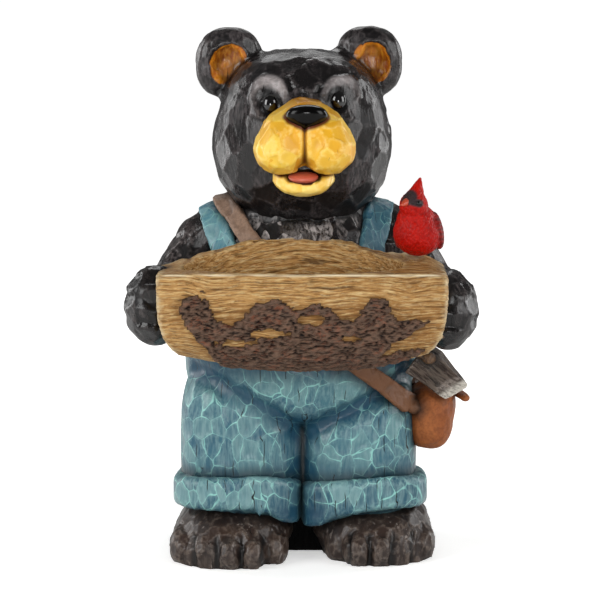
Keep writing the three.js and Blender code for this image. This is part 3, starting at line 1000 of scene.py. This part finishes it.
def head_masks(rows):
    x, y, z = rows.T
    front = step(y, -35, -55)
    brow = np.zeros(len(rows))
    for arch in BROWS:
        out, upper = brow_arch(rows, arch)
        toward = -math.copysign(1, arch["x"]) * (x - arch["x"]) / arch["wide"]
        bright = 0.26 + 0.74 * step(z - arch["z"], 6, 21) * step(toward, -1.05, -0.25)
        inside = 0.56 - 0.12 * step(toward, -0.4, 0.3)
        band = step(out, 1.1, 0.96) * step(out - inside, 0, 0.28)
        brow = np.maximum(brow, band * upper * bright * arch["bright"])
    eyes = spots(rows, EYES, 16, 10.5, narrow=0.9)
    amber = np.zeros(len(rows))
    for cup, side in zip(CUPS, (-1, 1)):
        away = ball_share(rows, cup, CUP_RADII)
        behind = (y - cup[1]) / CUP_RADII[1]
        floor_of_cup = step(away, 1.2, 1.08) * step(away, 0.75, 0.88) * step(behind, 0.15, 0.35)
        amber = np.maximum(amber, floor_of_cup * step(inward(rows, cup, side), 20, 6))
    return {"brow": np.clip(brow, 0, 1) * front * np.clip(1 - eyes, 0, 1),
            "socket": np.clip(eyes, 0, 1) * front, "amber": amber}


def muzzle_masks(rows):
    x, y, z = rows.T
    low = step(z, 424, 394)
    line = bell(x - FACE_X, 1.1 + 2.2 * low ** 2) * step(z, 446, 436) * (0.6 + 0.4 * low)
    return {"cleft": line * step(y, -95, -108), "blush": step(z, 442, 460),
            "mouth": bell(x - FACE_X, 3.4) * step(z, 396, 390)}


def lip_masks(rows):
    mouth = ball_share(rows, (FACE_X - 1, -111, 391), (20.5, 22, 14.2))
    return {"mouth": step(mouth, 1.12, 0.96) * step(rows[:, 1], -113, -108)}


def body_masks(rows):
    x, y, z = rows.T
    band = step(z, 302, 320) * step(z, 356, 344) * step(y, -30, -50)
    # fist_shade marks the fists, where shade is painted
    return {"chest": band * step(np.abs(x), 62, 50), "fist_shade": step(y, -85, -110)}


def trouser_masks(rows):
    x, y, z = rows.T
    front = step(y, -5, -35)
    # painted shade: blue-black along the hip folds, around the seam between the legs, above the cuffs and
    # under the log
    seam = np.exp(-np.abs(x - SEAM_X) / 13) * step(z, 168, 135)
    shade_above_cuffs = 0.55 * step(z, 112, 88)
    shade_under_log = step(z, 174, 202)
    return {"cloth_shade": np.clip(0.9 * bell(fold_gap(rows), 12) + seam + shade_above_cuffs + shade_under_log, 0, 1) * front,
            "seam_shade": bell(x - SEAM_X, 4) * step(z, 144, 130) * front}


def bib_masks(rows):
    x, y, z = rows.T
    # painted shade over the right brace
    return {"cloth_shade": 0.7 * step(x, 20, 50) * step(z, 280, 300) * step(y, 5, -15)}


def cuff_masks(rows, size):
    x, y, z = rows.T
    inner = step(-math.copysign(1, size["x"]) * (x - size["x"]), size["half"] * 0.45, size["half"])
    low = step(z + CUFF_RISE * y, size["low"] + 10, size["low"])
    # painted shade on the cuff's inner side and along its lower edge
    return {"cloth_shade": np.clip(0.9 * inner + 0.5 * low, 0, 1) * step(y, -40, -70)}


def strap_masks(rows):
    return {"low": step(rows[:, 2], 250, 205)}


def log_masks(rows):
    x, y, z = rows.T
    # painted highlight and wear: pale along the basin's front edge, its back edge and the log's ends
    rim_highlight = bell(z - LOG["front"] + 0.8, 0.95) * step(y, -152, -158)
    edge = bell(z - back_edge(x) + 0.8, 1.4) * step(y, -100, -92) * 0.4
    ends = step(np.abs(x) - end_reach(z), -4, -1) * 0.45
    return {"rim_highlight": np.clip(rim_highlight + edge + ends, 0, 1), "hollow": step(ball_share(rows, **BASIN), 1.1, 0.95)}


def bird_masks(rows):
    x, y, z = rows.T
    face = step(ball_share(rows, (100, -133, 369.5), (9.5, 13, 9)), 1.1, 0.75)
    stripe = step(line_gap(rows, [(95, 367), (110.5, 362.8)]), 4.6, 2.8) * step(y, -122, -127)
    wing = np.zeros(len(rows))
    for wing_x, wing_y, wing_z, side in WINGS:
        off = np.sqrt(((y - wing_y) / 17) ** 2 + ((z - wing_z) / 22) ** 2)
        out = side * (x - wing_x) + 0.3 * (z - wing_z)
        wing = np.maximum(wing, step(out, -3, 2) * step(off, 1.15, 0.85))
    return {"mask": np.maximum(face, stripe), "wing": wing}


mark_skin(head, [body], 12, masks=head_masks)
mark_skin(muzzle, [head, nose, lip], 5, masks=muzzle_masks)
mark_skin(lip, [muzzle, head], 5, masks=lip_masks)
mark_skin(body, [head, bib, satchel_strap, log], 9, masks=body_masks)
mark_skin(trousers, [*cuffs, log, satchel_strap, pouch], 12, masks=trouser_masks)
mark_skin(bib, [satchel_strap, log, head], 8, masks=bib_masks)
mark_skin(satchel_strap, [log, pouch, head], 9, masks=strap_masks)
for cuff, foot, other, size in zip(cuffs, feet, reversed(cuffs), CUFFS):
    mark_skin(cuff, [foot, other], 7, masks=lambda rows: cuff_masks(rows, size))
    mark_skin(foot, [cuff, web], 18, coarse=14)
mark_skin(web, feet + cuffs, 30)
mark_skin(pouch, [satchel_strap, axe_head], 10)
mark_skin(flap)
mark_skin(axe_head, [axe_handle], 5)
mark_skin(axe_handle, [axe_head], 4)
mark_skin(log, [body], 8, coarse=24, masks=log_masks)
mark_skin(bird, [log], 6, masks=bird_masks)


# ---- finishes: paints and shared effects ----

def tint(code):
    """A paint from its sRGB hex code."""
    parts = [int(code[start:start + 2], 16) / 255 for start in (0, 2, 4)]
    return (*[(part / 12.92) if part <= 0.04045 else ((part + 0.055) / 1.055) ** 2.4 for part in parts], 1)


def mix(share, under, over):
    """One paint over another. A paint is a hex code or a colour's wire."""
    under, over = [tint(paint) if isinstance(paint, str) else paint for paint in (under, over)]
    return put(share.tree, "ShaderNodeMix", {0: share, 6: under, 7: over}, data_type="RGBA")[2]


def new_effect(name, build, outputs, **inputs):
    """A shared effect: a group with named inputs, each with a default, and the masks build makes of them."""
    tree = bpy.data.node_groups.new(name, "ShaderNodeTree")
    for key, value in inputs.items():
        kind = "NodeSocketVector" if isinstance(value, tuple) else "NodeSocketFloat"
        tree.interface.new_socket(key, in_out="INPUT", socket_type=kind).default_value = value
    for key in outputs:
        tree.interface.new_socket(key, in_out="OUTPUT", socket_type="NodeSocketFloat")
    put(tree, "NodeGroupOutput", enumerate(build(put(tree, "NodeGroupInput"))))
    return tree


def effect(group, place, **sockets):
    """Places a shared effect in a material and gives its masks."""
    return put(place.tree, "ShaderNodeGroup", {"Place": place, **sockets}, node_tree=group)


def carved_cells(given):
    """The gouge marks again, as paint: a tone for each mark and the dry-brushed ridges between the marks."""
    place = given["Place"]
    size = put(place.tree, "ShaderNodeCombineXYZ", {0: 1.0, 1: given["Deep"], 2: given["Tall"]})[0]
    spread = wandering(place) / size
    scale = 1 / MM / given["Cell"]
    edge = cells_of(spread, scale, feature="DISTANCE_TO_EDGE")["Distance"]
    patchy = noise(place, 55.0, 2.0)
    broad = given["Line"] * ease(noise(place, 140.0, 1.0), 0.3, 0.7, 0.5, 1.5)
    ridges = ease(edge, broad * 0.35, broad, 1.0, 0.0) * ease(patchy, 0.36, 0.58, 0.12, 1.0)
    halo = ease(edge, 0.0, broad * 4.5, 1.0, 0.0) * ease(patchy, 0.4, 0.7)
    return cells_of(spread, scale)["Color"].parts("Color")[0], ridges, halo


def brushwork(given):
    """Strokes of a stiff brush: streaks drawn out one way and broad patches of thicker paint."""
    place = given["Place"]
    bent = place + noise(place, 40.0, 1.0, output="Color") * 0.006
    streaks = noise(bent * given["Drawn"], given["Fineness"], 3.0, 0.6)
    return ease(streaks, 0.34, 0.68), ease(noise(place, 28.0, 3.0, 0.6), 0.32, 0.68)


def hairline_cracks(given):
    """Short hairline cracks that run down the piece, one in some of the cells of a coarse pattern."""
    place = given["Place"]
    size = (1.0, 1.0, 1.5)
    cells = cells_of(place / size, 1 / MM / given["Apart"])
    off = place - cells["Position"] * size
    level = calc("NORMALIZE", calc("CROSS_PRODUCT", given["Facing"], (0.0, 0.0, 1.0)))
    aside = calc("DOT_PRODUCT", off, level) * (1 / MM) + uneven(place, 120.0, 1.4, 2.0)
    random = cells["Color"].parts("Color")
    half = given["Length"] * (random[1] * 0.4 + 0.2)
    up = calc("ABSOLUTE", off.parts()[2] * (1 / MM))
    thin = given["Width"] * ease(up, half * 0.4, half, 1.0, 0.0)
    line = (thin - calc("ABSOLUTE", aside)) / 0.2
    chosen = calc("LESS_THAN", random[2], given["Share"])
    steep = ease(given["Facing"].parts()[2], 0.75, 0.9, 1.0, 0.0)
    return (line * chosen).clamped() * steep,


def rubbed_edges(given):
    """Where the paint is rubbed: the kept ridges, broken up."""
    broken = ease(noise(given["Place"], given["Break"], 3.0, 0.6), 0.35, 0.65)
    return (given["Ridge"] * broken).clamped(),


CELLS = new_effect("carved_cells", carved_cells, ("Tone", "Ridges", "Halo"),
                   Place=(0, 0, 0), Cell=20.0, Deep=1.0, Tall=1.15, Line=0.045)
BRUSH = new_effect("brushwork", brushwork, ("Streaks", "Patches"),
                   Place=(0, 0, 0), Drawn=(1, 1, 0.15), Fineness=400.0)
CRACKS = new_effect("hairline_cracks", hairline_cracks, ("Cracks",),
                    Place=(0, 0, 0), Facing=(0, -1, 0), Apart=18.0, Length=32.0, Width=0.46, Share=0.5)
WORN = new_effect("rubbed_edges", rubbed_edges, ("Rubbed",), Place=(0, 0, 0), Ridge=0.0, Break=300.0)


class Finish:
    """A painted finish: its place and facing, its shader's inputs, and in color the paint laid on so far."""

    def __init__(self, name):
        self.material = bpy.data.materials.new(name)
        self.material.use_nodes = True
        self.tree = self.material.node_tree
        self.shader = self.tree.nodes["Principled BSDF"].inputs
        spot = put(self.tree, "ShaderNodeTexCoord")
        self.place = spot["Object"]
        self.facing = spot["Normal"]

    def kept(self, name):
        """A value kept on the piece's corners."""
        return put(self.tree, "ShaderNodeAttribute", attribute_name=name)["Fac"]

    def brushed(self, drawn, fineness):
        return effect(BRUSH, self.place, Drawn=drawn, Fineness=fineness)

    def cracked(self, **sockets):
        return effect(CRACKS, self.place, Facing=self.facing, **sockets)["Cracks"]

    def rubbed(self, **sockets):
        return effect(WORN, self.place, Ridge=self.kept("ridge"), **sockets)["Rubbed"]

    def lay(self, share, paint):
        """Lays a paint over the rest, as much as the share says."""
        self.color = mix(share, self.color, paint)

    def close(self, roughness, height, depth, specular=0.5, coat=0.0, coat_roughness=0.03, metallic=0.0):
        """Links paint, roughness and a height map of a depth in millimetres, and sets the even values."""
        lead(self.color, self.shader["Base Color"])
        lead(roughness, self.shader["Roughness"])
        bump = put(self.tree, "ShaderNodeBump", {"Height": height, "Distance": depth * MM, "Strength": 1.0})
        lead(bump[0], self.shader["Normal"])
        self.shader["Specular IOR Level"].default_value = specular
        self.shader["Coat Weight"].default_value = coat
        self.shader["Coat Roughness"].default_value = coat_roughness
        self.shader["Metallic"].default_value = metallic
        return self.material


def between(mask, low, high):
    """A value that runs from low to high as a mask runs from 0 to 1."""
    return ease(mask, 0.0, 1.0, low, high)


# ---- finishes: the bear ----

def fur_finish(name, paints, cell, tall, marked, cracked, worn):
    """Near-black fur paint on chisel cuts: a tone for each cut, brushed greys and rubbed ridges."""
    deep, dark, light, pale = paints
    finish = Finish(name)
    finish.cells = effect(CELLS, finish.place, Cell=cell, Tall=tall, Line=0.05)
    finish.brush = finish.brushed((1.0, 1.0, 0.22), 330.0)
    finish.cracks = finish.cracked(Apart=24.0, Share=cracked)
    tone = ease(finish.cells["Tone"], 0.15, 1.0) * finish.brush["Streaks"]
    tone = tone - tone * finish.cells["Halo"] * 0.6
    finish.color = mix(finish.brush["Patches"], dark, deep)
    finish.lay(tone * 0.8, light)
    finish.lay(tone * tone * marked, pale)
    finish.lay(finish.rubbed() * worn, pale)
    return finish


def close_fur(finish, smoothest=0.2, roughest=0.36):
    """Painted black shade in hollows and at joins, black cracks and a thin varnish over fur paint."""
    # painted shade: near black in creases and where other pieces touch
    finish.lay((finish.kept("crease") * 0.9 + finish.kept("join") * 0.75).clamped(), "0b0a0a")
    finish.lay(finish.cracks, "050404")
    return finish.close(between(finish.brush["Patches"], smoothest, roughest),
                        finish.brush["Streaks"] * 0.35 - finish.cracks, 0.35,
                        specular=0.36, coat=0.12, coat_roughness=0.2)


def head_finish():
    paints = ("0e0c0d", "1b1818", "302b2c", "787070")
    finish = fur_finish("head_fur_paint", paints, cell=19.0, tall=1.35, marked=0.35, cracked=0.12, worn=0.24)
    brow = finish.kept("brow")
    swept = finish.brushed((0.5, 1.0, 1.0), 260.0)["Streaks"]
    finish.lay(brow * (swept * 0.45 + 0.55), "a59d9c")
    finish.cracks = (finish.cracks * (1.0 - brow)).clamped()
    finish.lay(finish.kept("socket"), "0c0a0b")
    amber = finish.kept("amber")
    warm = mix(finish.brush["Patches"], "8e430a", "c26c12")
    warm = mix(finish.brush["Streaks"] * 0.6, warm, "e29c2e")
    warm = mix(ease(amber, 0.35, 1.0, 1.0, 0.0), warm, "331a0c")
    finish.lay(ease(amber, 0.3, 0.6), warm)
    return close_fur(finish)


def body_finish():
    paints = ("0e0c0c", "1e1a1a", "423a39", "857c7a")
    finish = fur_finish("body_fur_paint", paints, cell=15.0, tall=1.3, marked=0.5, cracked=0.3, worn=0.16)
    strokes = finish.brush["Streaks"] * ease(finish.cells["Tone"], 0.15, 0.75)
    finish.lay(finish.kept("chest") * strokes, "aea7a4")
    # painted shade: the fists darkened
    finish.lay(finish.kept("fist_shade") * 0.6, "0e0c0c")
    return close_fur(finish)


def foot_finish():
    paints = ("221916", "382b25", "4c3f37", "7d7066")
    finish = fur_finish("foot_fur_paint", paints, cell=11.0, tall=1.2, marked=0.3, cracked=0.3, worn=0.38)
    scratch = noise(finish.place * (1.0, 1.0, 0.3), 260.0, 2.0)
    fleck = ease(scratch, 0.58, 0.68) * ease(noise(finish.place, 60.0, 2.0), 0.5, 0.6)
    finish.lay(fleck * 0.6, "8d827b")
    # painted shade in the grooves between the toes
    finish.lay(finish.kept("gap") * 0.9, "0a0706")
    return close_fur(finish, 0.3, 0.48)


def shadow_finish():
    """Flat black paint, brushed thin, between the feet: painted shadow, blackest near the feet and cuffs."""
    finish = Finish("painted_shadow_black")
    brush = finish.brushed((1.0, 1.0, 0.3), 260.0)
    finish.color = mix(brush["Patches"], "050404", "0c0a0a")
    # painted shadow: blacker where the web meets the feet and cuffs
    finish.lay(finish.kept("join"), "020202")
    return finish.close(between(brush["Streaks"], 0.75, 0.9), brush["Streaks"], 0.3, specular=0.12)


def muzzle_finish(name, base, lit, deep):
    """Golden paint, a tone for each cut, brown toward the eyes, the cleft and the mouth, and painted brown
    shade in its creases and at its joins.
    """
    finish = Finish(name)
    cells = effect(CELLS, finish.place, Cell=14.0, Tall=1.2, Line=0.05)
    brush = finish.brushed((1.0, 1.0, 0.4), 220.0)
    cracks = finish.cracked(Apart=15.0, Length=8.0, Width=0.22, Share=0.35)
    finish.color = mix(ease(cells["Tone"], 0.1, 0.9), base, lit)
    for share, paint in (
        (brush["Patches"] * 0.3, deep),
        (finish.rubbed(Break=200.0) * 0.45, "f8e08c"),
        (finish.kept("blush") * 0.75, "a0590a"),
        # painted shade in creases and at joins
        (finish.kept("crease") * 0.5, "b06c1c"),
        (ease(finish.kept("join"), 0.1, 0.8), "5e2a0c"),
        (finish.kept("cleft"), "2a1206"),
        (finish.kept("mouth"), "1c0a05"),
        (cracks * 0.7, "7a4a16"),
    ):
        finish.lay(share, paint)
    return finish.close(between(brush["Patches"], 0.3, 0.46), brush["Streaks"] * 0.3 - cracks, 0.3,
                        specular=0.32, coat=0.12, coat_roughness=0.22)


def gloss_finish(name, deep, light, rough, shine=0.5, coat=0.0):
    """Glassy enamel with faint wipe marks, for eyes, nose, tongue and beak."""
    finish = Finish(name)
    brush = finish.brushed((0.5, 1.0, 1.0), 180.0)
    finish.color = mix(brush["Patches"] * 0.6, deep, light)
    roughness = between(brush["Streaks"], rough, rough + 0.07)
    return finish.close(roughness, brush["Patches"], 0.12, specular=shine, coat=coat)


# ---- finishes: the clothes and what it carries ----

def denim_finish(name, cloth, base, lit, deep, line=0.028, strong=1.0):
    """Teal cloth paint in gouged cells, with pale dry-brushed ridges, painted blue-black shade in the folds,
    creases and joins, and cracks.
    """
    finish = Finish(name)
    cell, wide, tall = CLOTH_CELLS[cloth]
    cells = effect(CELLS, finish.place, Cell=cell, Deep=wide, Tall=tall, Line=line)
    brush = finish.brushed((1.0, 1.0, 0.12), 380.0)
    cracks = finish.cracked()
    cloth_shade_share = calc("MAXIMUM", finish.kept("cloth_shade"), finish.kept("crease"))
    open_cloth = 1.0 - cloth_shade_share * 0.75
    finish.color = mix(ease(brush["Patches"], 0.1, 1.0, 0.0, 0.75), base, deep)
    for share, paint in (
        (ease(cells["Tone"], 0.3, 1.0, 0.0, 0.48 * strong), lit),
        (ease(cells["Tone"], 0.45, 0.0, 0.0, 0.36 * strong), deep),
        (brush["Streaks"] * 0.36, "8cabaa"),
        (cells["Halo"] * 0.12, "74b3b2"),
        # painted shade in the folds and creases
        (cloth_shade_share * 0.93, "0e3b52"),
        (cells["Ridges"] * open_cloth * 0.66, "98d8ce"),
        (finish.rubbed() * open_cloth * 0.22, "a3cdc6"),
        # painted shade at joins and along the seam between the legs
        (finish.kept("join") * 0.9, "10242c"),
        (finish.kept("seam_shade"), "0a1417"),
        (cracks, "0c1518"),
    ):
        finish.lay(share, paint)
    height = cells["Ridges"] * 0.5 + brush["Streaks"] * 0.25 - cracks
    return finish.close(between(brush["Patches"], 0.3, 0.48), height, 0.4,
                        specular=0.36, coat=0.15, coat_roughness=0.2)


def leather_finish(name, base, lit, deep, lower=None):
    """Rubbed leather paint: mottled browns, fine creases, painted shade in its hollows and where it tucks
    under, pale along its edges.
    """
    finish = Finish(name)
    brush = finish.brushed((1.0, 1.0, 0.6), 180.0)
    pores = cells_of(finish.place, 420.0)["Distance"]
    finish.color = mix(brush["Patches"], base, lit)
    finish.lay(brush["Streaks"] * 0.35, deep)
    finish.lay(finish.rubbed(Break=220.0) * 0.5, lit)
    finish.lay(ease(pores, 0.5, 0.8) * 0.25, deep)
    if lower:
        finish.lay(finish.kept("low") * 0.9, lower)
    # painted shade in hollows and where other pieces touch
    finish.lay(finish.kept("crease"), deep)
    finish.lay(finish.kept("join") * 0.85, "1c120c")
    height = pores * -0.5 + brush["Streaks"]
    return finish.close(between(brush["Patches"], 0.42, 0.6), height, 0.3, specular=0.3)


def iron_finish():
    """Dark forged iron: long streaks, brown stains and a bright ground edge."""
    finish = Finish("axe_iron_paint")
    tilt = (0.0, math.radians(-AXE_TILT), 0.0)
    turned = put(finish.tree, "ShaderNodeMapping", {"Vector": finish.place, "Rotation": tilt})[0]
    brush = effect(BRUSH, turned, Drawn=(0.12, 1.0, 1.0), Fineness=420.0)
    finish.color = mix(brush["Streaks"], "17120f", "695e54")
    finish.lay(brush["Patches"] * 0.45, "3f2b1e")
    finish.lay(finish.rubbed() * 0.6, "a79c94")
    finish.lay(finish.kept("edge") * (brush["Streaks"] * 0.4 + 0.55), "d3cdc2")
    # painted shade where the head meets the handle
    finish.lay(finish.kept("join"), "17110d")
    return finish.close(between(brush["Streaks"], 0.24, 0.42), brush["Streaks"], 0.35, metallic=0.45)


def handle_finish():
    finish = Finish("axe_handle_paint")
    brush = finish.brushed((1.0, 0.15, 0.5), 420.0)
    finish.color = mix(brush["Streaks"], "3a2618", "5f432c")
    finish.lay(finish.rubbed() * 0.6, "8d6b49")
    # painted shade where the handle meets the head
    finish.lay(finish.kept("join"), "140d08")
    return finish.close(between(brush["Streaks"], 0.4, 0.55), brush["Streaks"], 0.4)


# ---- finishes: the log and the bird ----

def log_finish():
    """Split wood with rough grain, pale rims of wear and painted highlight, painted shade in creases, under
    the bark's edge and where the bear touches it, and flaking bark where it was left on.
    """
    finish = Finish("log_wood_and_bark")
    grain = along_grain(finish.place)
    splits = noise(grain, 330.0, 3.0, 0.55)
    fine = noise(grain, 700.0, 3.0, 0.6)
    thin = noise(grain * (0.5, 1.0, 1.0), 1100.0, 2.0, 0.5)
    checks = noise(grain * (0.45, 1.0, 1.0), 330.0, 1.0, 0.4)
    # pale rims: wear and painted highlight
    rim_wear_and_highlight = finish.kept("rim_highlight") * ease(noise(grain, 150.0, 3.0, 0.6), 0.42, 0.58, 0.1, 1.0)
    finish.color = mix(ease(noise(grain, 38.0, 2.0, 0.5), 0.35, 0.65), "986d39", "b2864d")
    for share, paint in (
        (ease(splits, 0.54, 0.68) * 0.3, "cdb07c"),
        (ease(fine, 0.54, 0.62) * 0.4, "dcbf86"),
        (ease(fine, 0.49, 0.39) * 0.7, "744a1e"),
        (ease(splits, 0.41, 0.34) * 0.75, "5b3c18"),
        (ease(thin, 0.43, 0.35) * 0.6, "54370f"),
        (ease(checks, 0.325, 0.3) * 0.6, "3d260c"),
        # painted shade in creases, kept out of the basin
        ((finish.kept("crease") - finish.kept("hollow") * 0.8) * 0.7, "573817"),
        (finish.rubbed(Break=160.0) * 0.4, "dcc898"),
        (rim_wear_and_highlight * 0.85, "efe3c2"),
    ):
        finish.lay(share, paint)
    flakes = noise(along_bark(finish.place), 330.0, 6.0, 0.74)
    patch = noise(finish.place, 90.0, 3.0)
    rind = mix(ease(flakes, 0.4, 0.64), "2a1a12", "6a4d3c")
    for share, paint in (
        (ease(patch, 0.46, 0.6) * ease(flakes, 0.46, 0.62), "7a4028"),
        (ease(flakes, 0.43, 0.36), "0e0705"),
        (finish.kept("rift") * 0.85, "0c0604"),
        (finish.kept("ridge") * 0.4, "8a6f5c"),
    ):
        rind = mix(share, rind, paint)
    bark = finish.kept("bark")
    # painted shade: a dark brown band under the bark's raised edge
    finish.lay(ease(bark, 0.02, 0.4), "3c2716")
    finish.lay(ease(bark, 0.35, 0.7), rind)
    # painted shade where the bear touches the log
    finish.lay(finish.kept("join") * 0.7, "24160a")
    height = fine * 2.0 + thin + flakes * bark * 4.0
    return finish.close(ease(bark, 0.2, 0.8, 0.5, 0.66), height, 0.7, specular=0.3)


def bird_finish():
    """Red feather paint in fine tufts, with a dark face and dark-edged wings, and painted shade between the
    tufts, in creases and where it sits on the log.
    """
    finish = Finish("cardinal_feather_paint")
    tufts = feather_tufts(finish.place)
    brush = finish.brushed((1.0, 1.0, 0.4), 500.0)
    wave = {"Vector": finish.place, "Scale": 62.0, "Distortion": 5.0, "Detail": 2.0}
    bars = put(finish.tree, "ShaderNodeTexWave", wave, bands_direction="Z")["Fac"]
    finish.color = mix(brush["Patches"], "940703", "b01106")
    # painted shade in the hollows between the tufts
    finish.lay(ease(tufts, 0.5, 0.85) * 0.35, "6d0a06")
    finish.lay(ease(tufts, 0.3, 0.05) * 0.25, "d8402c")
    finish.lay(finish.kept("wing") * ease(bars, 0.2, 0.8, 0.45, 0.8), "4a1513")
    finish.lay(finish.kept("mask"), mix(brush["Patches"], "1e1516", "3d3032"))
    # painted shade in creases and where the bird sits on the log
    finish.lay(finish.kept("crease"), "520704")
    finish.lay(finish.kept("join") * 0.8, "2e0703")
    height = tufts * -1.0 + brush["Streaks"] * 0.5
    return finish.close(between(brush["Streaks"], 0.34, 0.5), height, 0.5, specular=0.16)


bear_finishes = [
    (head_finish(), [head]),
    (body_finish(), [body]),
    (shadow_finish(), [web]),
    (foot_finish(), feet),
    (muzzle_finish("muzzle_gold_paint", "e6ab28", "f0c648", "cc8a1c"), [muzzle]),
    (muzzle_finish("lip_gold_paint", "f2c650", "fcde7c", "deaa38"), [lip]),
    (gloss_finish("tongue_coral_enamel", "cc604a", "e2866c", 0.3), [tongue]),
    (gloss_finish("nose_black_enamel", "030202", "070606", 0.14, 0.24), [nose]),
    (gloss_finish("eye_black_enamel", "030202", "050404", 0.08, coat=1.0), eyes),
    (denim_finish("trouser_cloth_paint", "trousers", "3b6976", "6f9898", "1c4d64"), [trousers]),
    (denim_finish("bib_cloth_paint", "bib", "427a8a", "82a8ac", "246078"), [bib]),
    (denim_finish("cuff_cloth_paint", "cuffs", "325e6f", "70989a", "18465b", 0.036, 1.4), cuffs),
    (leather_finish("strap_leather_paint", "79604f", "957a67", "4a372c", "6b452b"), [satchel_strap]),
    (leather_finish("pouch_leather_paint", "824420", "9c5b2e", "542911"), [pouch, flap]),
    (iron_finish(), [axe_head]),
    (handle_finish(), [axe_handle]),
]
log_finishes = [(log_finish(), [log])]
bird_finishes = [
    (bird_finish(), [bird]),
    (gloss_finish("cardinal_beak_enamel", "a8301e", "c85a3c", 0.32), [beak]),
    (gloss_finish("cardinal_eye_enamel", "050404", "0a0808", 0.08), [bird_eye]),
]
for node, slot, finishes in (
    ("bear", "painted_bear", bear_finishes),
    ("log_trough", "painted_log", log_finishes),
    ("cardinal", "painted_bird", bird_finishes),
):
    for material, pieces in finishes:
        for piece in pieces:
            piece.data.materials.clear()
            piece.data.materials.append(material)
            pick(piece)
            bpy.ops.object.shade_smooth()
            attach(piece, "root")
            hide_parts(node)


# ---- floor, light and camera: metres, with film and lens in millimetres and the rise in degrees ----

AMBIENT = 0.1
FILM = 36
LENS = 150
CAMERA_DISTANCE = 2.5
CAMERA_RISE = 9
CAMERA_AIM = (-0.002, 0, 0.2498)


def floor_finish():
    """Plain pale card, a little brighter to the eye than to the light it returns."""
    finish = Finish("pale_floor_card")
    lead(mix(noise(finish.place, 3.0, 2.0), "f2f2f0", "f6f6f5"), finish.shader["Base Color"])
    finish.shader["Roughness"].default_value = 0.9
    seen = put(finish.tree, "ShaderNodeLightPath")["Is Camera Ray"]
    glow = ease(calc("LENGTH", finish.place), 0.2, 1.3, 0.45, 0.95)
    lead(seen * glow, finish.shader["Emission Strength"])
    finish.shader["Emission Color"].default_value = (1, 1, 1, 1)
    return finish.material


def softbox(name, place, aim, size, power, mirrored=True):
    """A lamp behind cloth. A fill that isn't mirrored only lifts the paint."""
    light = bpy.data.lights.new(name, "AREA")
    light.shape = "RECTANGLE"
    light.size, light.size_y = size
    light.energy = power
    lamp = bpy.data.objects.new(name, light)
    bpy.context.collection.objects.link(lamp)
    lamp.location = place
    lamp.rotation_euler = (Vector(aim) - lamp.location).to_track_quat("-Z", "Y").to_euler()
    lamp.visible_glossy = mirrored


deselect()
bpy.ops.mesh.primitive_plane_add(size=60)
floor = bpy.context.object
floor.name = "floor"
floor.data.materials.append(floor_finish())

world = bpy.data.worlds.new("studio")
bpy.context.scene.world = world
world.use_nodes = True
seen = put(world.node_tree, "ShaderNodeLightPath")["Is Camera Ray"]
backdrop = world.node_tree.nodes["Background"].inputs
lead(calc("MULTIPLY_ADD", seen, 1.0 - AMBIENT, AMBIENT), backdrop["Strength"])
backdrop["Color"].default_value = (1, 1, 1, 1)

softbox("left_softbox", (-1.5, -1.0, 0.85), (0, 0, 0.27), (0.9, 1.3), 20)
softbox("right_softbox", (1.5, -0.95, 0.8), (0, 0, 0.27), (0.9, 1.3), 15)
softbox("left_edge_light", (-1.4, 0.75, 0.6), (0, 0, 0.3), (0.5, 1.2), 9)
softbox("right_edge_light", (1.4, 0.75, 0.6), (0, 0, 0.3), (0.5, 1.2), 9)
softbox("top_softbox", (0, 1.25, 1.55), (0, 0, 0.3), (1.2, 0.6), 6)
softbox("front_fill", (0, -2.4, 1.3), (0, 0, 0.25), (1.4, 1.0), 16, mirrored=False)
softbox("front_light", (0.02, -2.8, 0.32), (0, 0, 0.35), (0.5, 0.5), 10)

view = bpy.data.cameras.new("camera")
view.lens = LENS
view.sensor_width = FILM
camera = bpy.data.objects.new("camera", view)
bpy.context.collection.objects.link(camera)
aim = Vector(CAMERA_AIM)
rise = math.radians(CAMERA_RISE)
camera.location = aim + Vector((0, -math.cos(rise), math.sin(rise))) * CAMERA_DISTANCE
camera.rotation_euler = (aim - camera.location).to_track_quat("-Z", "Y").to_euler()
bpy.context.scene.camera = camera
bpy.context.scene.view_settings.view_transform = "Standard"
